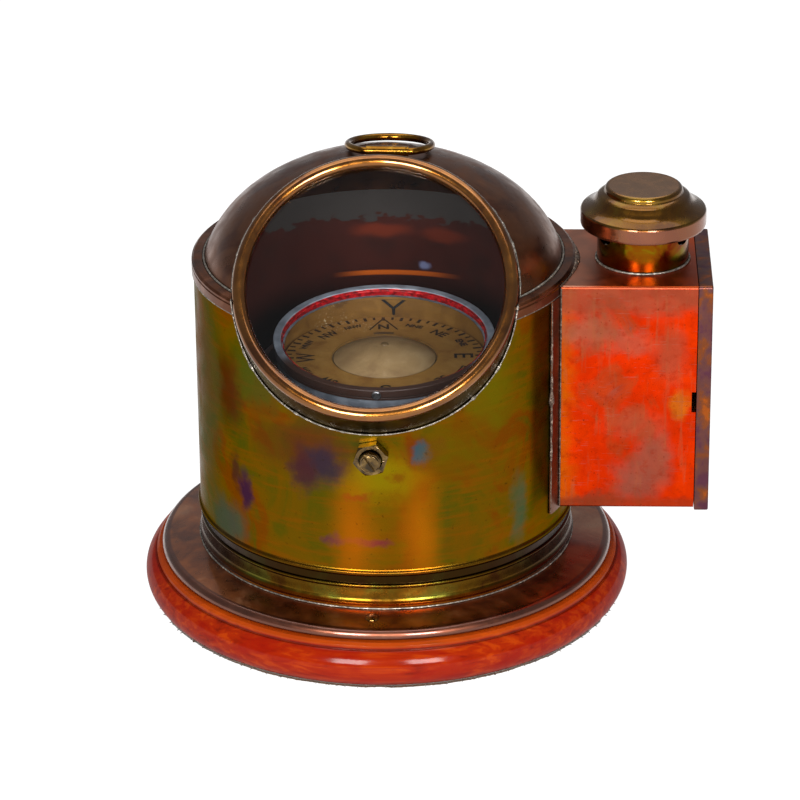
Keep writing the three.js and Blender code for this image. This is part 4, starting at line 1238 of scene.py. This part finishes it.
def make_door():
    start = LAMP_END + 0.4
    end = start + 7.4
    half, low, high = LAMP_HALF + 0.4, LAMP_BOTTOM - 1.5, LAMP_TOP + 0.4
    outer = [(2.6, end), (0.9, end), (0.4, end - 0.12), (0.12, end - 0.4), (0, end - 0.9),
        (0, start + 0.3), (0.1, start + 0.05), (0.3, start)]
    inner = [(0.9, start), (1.1, start + 0.05), (1.2, start + 0.3), (1.2, end - 1.9), (1.5, end - 1.3),
        (2.2, end - 1.2), (3.0, end - 1.2)]
    door = lofted(box_loops(outer + inner, half, low, high, 1.6), True)
    put("case_door", door, "lamp_door", "lamp_copper", "door", "lamp_door", place=LAMP)

    bottom, lower, upper, top = HINGE_Z
    play = 0.2
    hinge = LAMP @ shift(HINGE_X, HINGE_Y)
    leaf_in = LAMP_HALF + GAP
    box_leaf = build("hinge_fixed_leaf", block((150, leaf_in, bottom), (161.6, leaf_in + 1, top)), LAMP)
    pieces = []
    for z_low, z_high in ((bottom, lower - play), (upper + play, top)):
        pieces.append((block((160, leaf_in, z_low), (163, leaf_in + 1, z_high)), LAMP))
        pieces.append((rod(2.6, z_low, z_high, SMALL, 0.15), hinge))
    for z in (bottom + 9, top - 9):
        pieces.append((lathe([(0, -1), (1.9, -1), (1.6, 0.5), (0.9, 0.8), (0, 0.9)], SMALL),
            LAMP @ shift(155, leaf_in + 1, z) @ turn(-90, "X")))
    carve(box_leaf, *pieces, how="UNION")
    bore = (plug(1.5, bottom - 1, top + 1, SMALL), hinge)
    dress(carve(box_leaf, bore), "cover", "fitting_brass", "brass", "hinge_leaf_box")

    door_leaf = build("hinge_door_leaf", block((HINGE_X + 1, half + GAP, lower + play),
        (end - 1, half + 1.3, upper - play)), LAMP)
    carve(door_leaf, (rod(2.6, lower + play, upper - play, SMALL, 0.15), hinge), how="UNION")
    dress(carve(door_leaf, bore), "lamp_door", "fitting_brass", "brass", "hinge_leaf_door")
    pin = softened([(0, bottom - 1.4), (2.2, bottom - 1.4), (2.2, bottom - 0.4), (1.2, bottom - 0.4),
        (1.2, top + 0.4), (2.2, top + 0.4), (2.2, top + 1.4), (0, top + 1.4)], 0.3, False)
    put("hinge_spindle", lathe(pin, SMALL), "cover", "fitting_brass", "brass", "hinge_pin", place=hinge)


def make_chimney():
    collar = softened([(CHIMNEY_R - 1.2, LAMP_TOP + GAP), (CHIMNEY_R, LAMP_TOP + GAP),
        *[(CHIMNEY_R, LAMP_TOP + 1 + 2.7 * i) for i in range(11)], (CHIMNEY_R - 1.2, 217.3)], 0.2)
    vent = moved(plug(1, 10, 40, SMALL), Matrix.Diagonal((3, 5.5, 1, 1)))
    vents = [(vent, CHIMNEY @ shift(0, 0, 204.6) @ turn(side - 90, "Z") @ turn(90, "Y"))
        for side in (-60, 60, 120, 240)]
    put("flue_collar", lathe(collar, FINE), "cover", "lamp_copper", "chimney", "chimney_collar",
        place=CHIMNEY, cuts=vents)
    foot = circle(24.5, LAMP_TOP + 0.55, 180)
    sizes = [0.6 + 0.2 * wobble(i * 0.2, 4) for i in range(180)]
    put("flue_solder", wire(foot, sizes, (0, 0, 1), 8, True), "cover", "steel", "solder", place=CHIMNEY)

    t = CAP_TOP
    cap = softened([(0, t), (17.6, t - 0.05), *arc((18.1, t - 2.2), 2.3, 84, 4, 8), (20.45, t - 2.9),
        (20.75, t - 3.35), (21.6, t - 3.65), (22.9, t - 4.25), (23.9, t - 5.0), (24.7, t - 6.0),
        (25.3, t - 7.1), (26.1, t - 8.3), (27.2, t - 9.4), (28.6, t - 10.3), (30.3, t - 11.2),
        (32.2, t - 12.1), (CAP_R - 0.2, t - 12.7), (CAP_R, t - 13.4), (CAP_R, 210.2),
        (CAP_R - 0.3, 209.2), (CAP_R - 0.9, 208.8), (CAP_R - 1.6, 209.3), (CAP_R - 1.3, 210.8),
        (CAP_R - 1.3, t - 14), (28, t - 11.8), (25.6, t - 10.4), (22.2, t - 10.4), (22.2, 210.8),
        (21.2, 210.8), (21.2, t - 5), (18.6, t - 1.8), (0, t - 1.4)], 0.5, False)
    put("flue_cap", lathe(cap, FINE), "chimney_cap", "polished_brass", "cap", "chimney_cap",
        place=CHIMNEY, sharp=50)


def make_lamp():
    place = CHIMNEY @ shift(0, 0, LAMP_LIFT)
    font = softened([(0, 60.9), (21, 60.9), (22, 62), (22, 78), *arc((17.5, 78), 4.5, 0, 70, 8),
        (9.6, 84.4), (9, 85.2), (9, 88), (5.5, 88), (5.5, 64), (0, 64)], 0.4, False)
    put("oil_font", lathe(font, MEDIUM), "cover", "fitting_brass", "brass", "lamp_font", place=place)
    burner = build("lamp_gallery", lathe(softened([(5.5, 88.3), (11, 88.3), (11, 91), (7.5, 93),
        (7.5, 104), (5.5, 106)], 0.3), SMALL), place)
    carve(burner, (plug(1.3, 0, 20, SMALL), place @ shift(0, 0, 97) @ turn(90, "Y")))
    dress(burner, "cover", "fitting_brass", "brass", "lamp_burner")
    put("flat_wick", block((-1.1, -4, 66), (1.1, 4, 108)), "wick", "cotton_wick", "cotton", "lamp_wick",
        place=place, bevel=0.4)

    spindle = rod(1, 1.6, 14.4, SMALL)
    loops = []
    for radius, z in ((5.2, 14), (5.8, 14.5), (5.8, 16.4), (5.2, 17)):
        loop = []
        for k in range(144):
            knurl = radius + 0.18 * math.cos(24 * 2 * math.pi * k / 144)
            angle = 2 * math.pi * k / 144
            loop.append(polar(knurl, angle, z))
        loops.append(loop)
    place = place @ shift(0, 0, 97) @ turn(90, "Y")
    knob = carve(build("wick_wheel", lofted(loops, True), place), (spindle, place), how="UNION")
    dress(knob, "wick_knob", "fitting_brass", "brass", "wick_knob")


# ------------------------------------------------------------------ light and camera

# name, azimuth and elevation in degrees, distance, width and height in metres, power in watts
LIGHTS = (("left_box", -13, 20, 1.7, 0.42, 0.6, 32), ("right_box", 21, 20, 1.7, 0.42, 0.6, 32),
    ("top_box", 0, 84, 1.8, 1.3, 0.6, 8), ("back_box", 180, 66, 1.8, 1.6, 1.1, 12),)
FLOOR_REACH = 6.0
AIM_HEIGHT = 0.12


def make_stage():
    floor_mesh = bpy.data.meshes.new("floor")
    far = FLOOR_REACH
    floor_mesh.from_pydata([(-far, -far, 0), (far, -far, 0), (far, far, 0), (-far, far, 0)], [],
        [(0, 1, 2, 3)])
    floor = bpy.data.objects.new("floor", floor_mesh)
    bpy.context.scene.collection.objects.link(floor)
    look = bpy.data.materials.new("floor_white")
    look.use_nodes = True
    shader = look.node_tree.nodes["Principled BSDF"]
    shader.inputs["Base Color"].default_value = (0.12, 0.12, 0.12, 1)
    shader.inputs["Roughness"].default_value = 0.9
    shader.inputs["Emission Color"].default_value = (1, 1, 1, 1)
    shader.inputs["Emission Strength"].default_value = 0.96
    floor_mesh.materials.append(look)

    world = bpy.data.worlds.new("studio")
    bpy.context.scene.world = world
    world.use_nodes = True
    background = world.node_tree.nodes["Background"]
    background.inputs[0].default_value = (0.95, 0.97, 1.0, 1)
    background.inputs[1].default_value = 0.3


def softbox(name, azimuth, elevation, distance, width, height, power):
    """An area light that faces the compass; azimuth 0 is in front, 90 on the lamp's side."""
    a, e = math.radians(azimuth), math.radians(elevation)
    back = Vector((math.sin(a) * math.cos(e), -math.cos(a) * math.cos(e), math.sin(e)))
    lamp = bpy.data.lights.new(name, "AREA")
    lamp.shape = "RECTANGLE"
    lamp.size, lamp.size_y = width, height
    lamp.energy = power
    holder = bpy.data.objects.new(name, lamp)
    bpy.context.scene.collection.objects.link(holder)
    holder.location = Vector((0, 0, AIM_HEIGHT)) + back * distance
    holder.rotation_mode = "QUATERNION"
    holder.rotation_quaternion = (-back).to_track_quat("-Z", "Y")


def make_camera():
    """A long lens, looking down at the compass from a little to the lamp's side of the window."""
    lens = bpy.data.cameras.new("camera")
    lens.lens = 180
    lens.sensor_width = 36
    lens.clip_end = 20
    camera = bpy.data.objects.new("camera", lens)
    bpy.context.scene.collection.objects.link(camera)
    azimuth, elevation, roll, distance = 4.0, 24.465, -0.516, 2.139
    target = turn(azimuth, "Z") @ Vector((0.007983, 0, 0.105958))
    aim = turn(azimuth, "Z") @ turn(90 - elevation, "X") @ turn(roll, "Z")
    aim.translation = target + aim.to_3x3() @ Vector((0, 0, distance))
    camera.matrix_world = aim
    bpy.context.scene.camera = camera


make_camera()
make_base()
make_cover()
make_window()
make_carry_ring()
make_pivot(PIVOT_FRONT, "front")
make_pivot(PIVOT_REAR, "rear")
make_gimbal()
make_bowl()
make_card()
make_lamp_box()
make_door()
make_chimney()
make_lamp()
make_stage()
for light in LIGHTS:
    softbox(*light)
bpy.context.scene.view_settings.view_transform = "Standard"
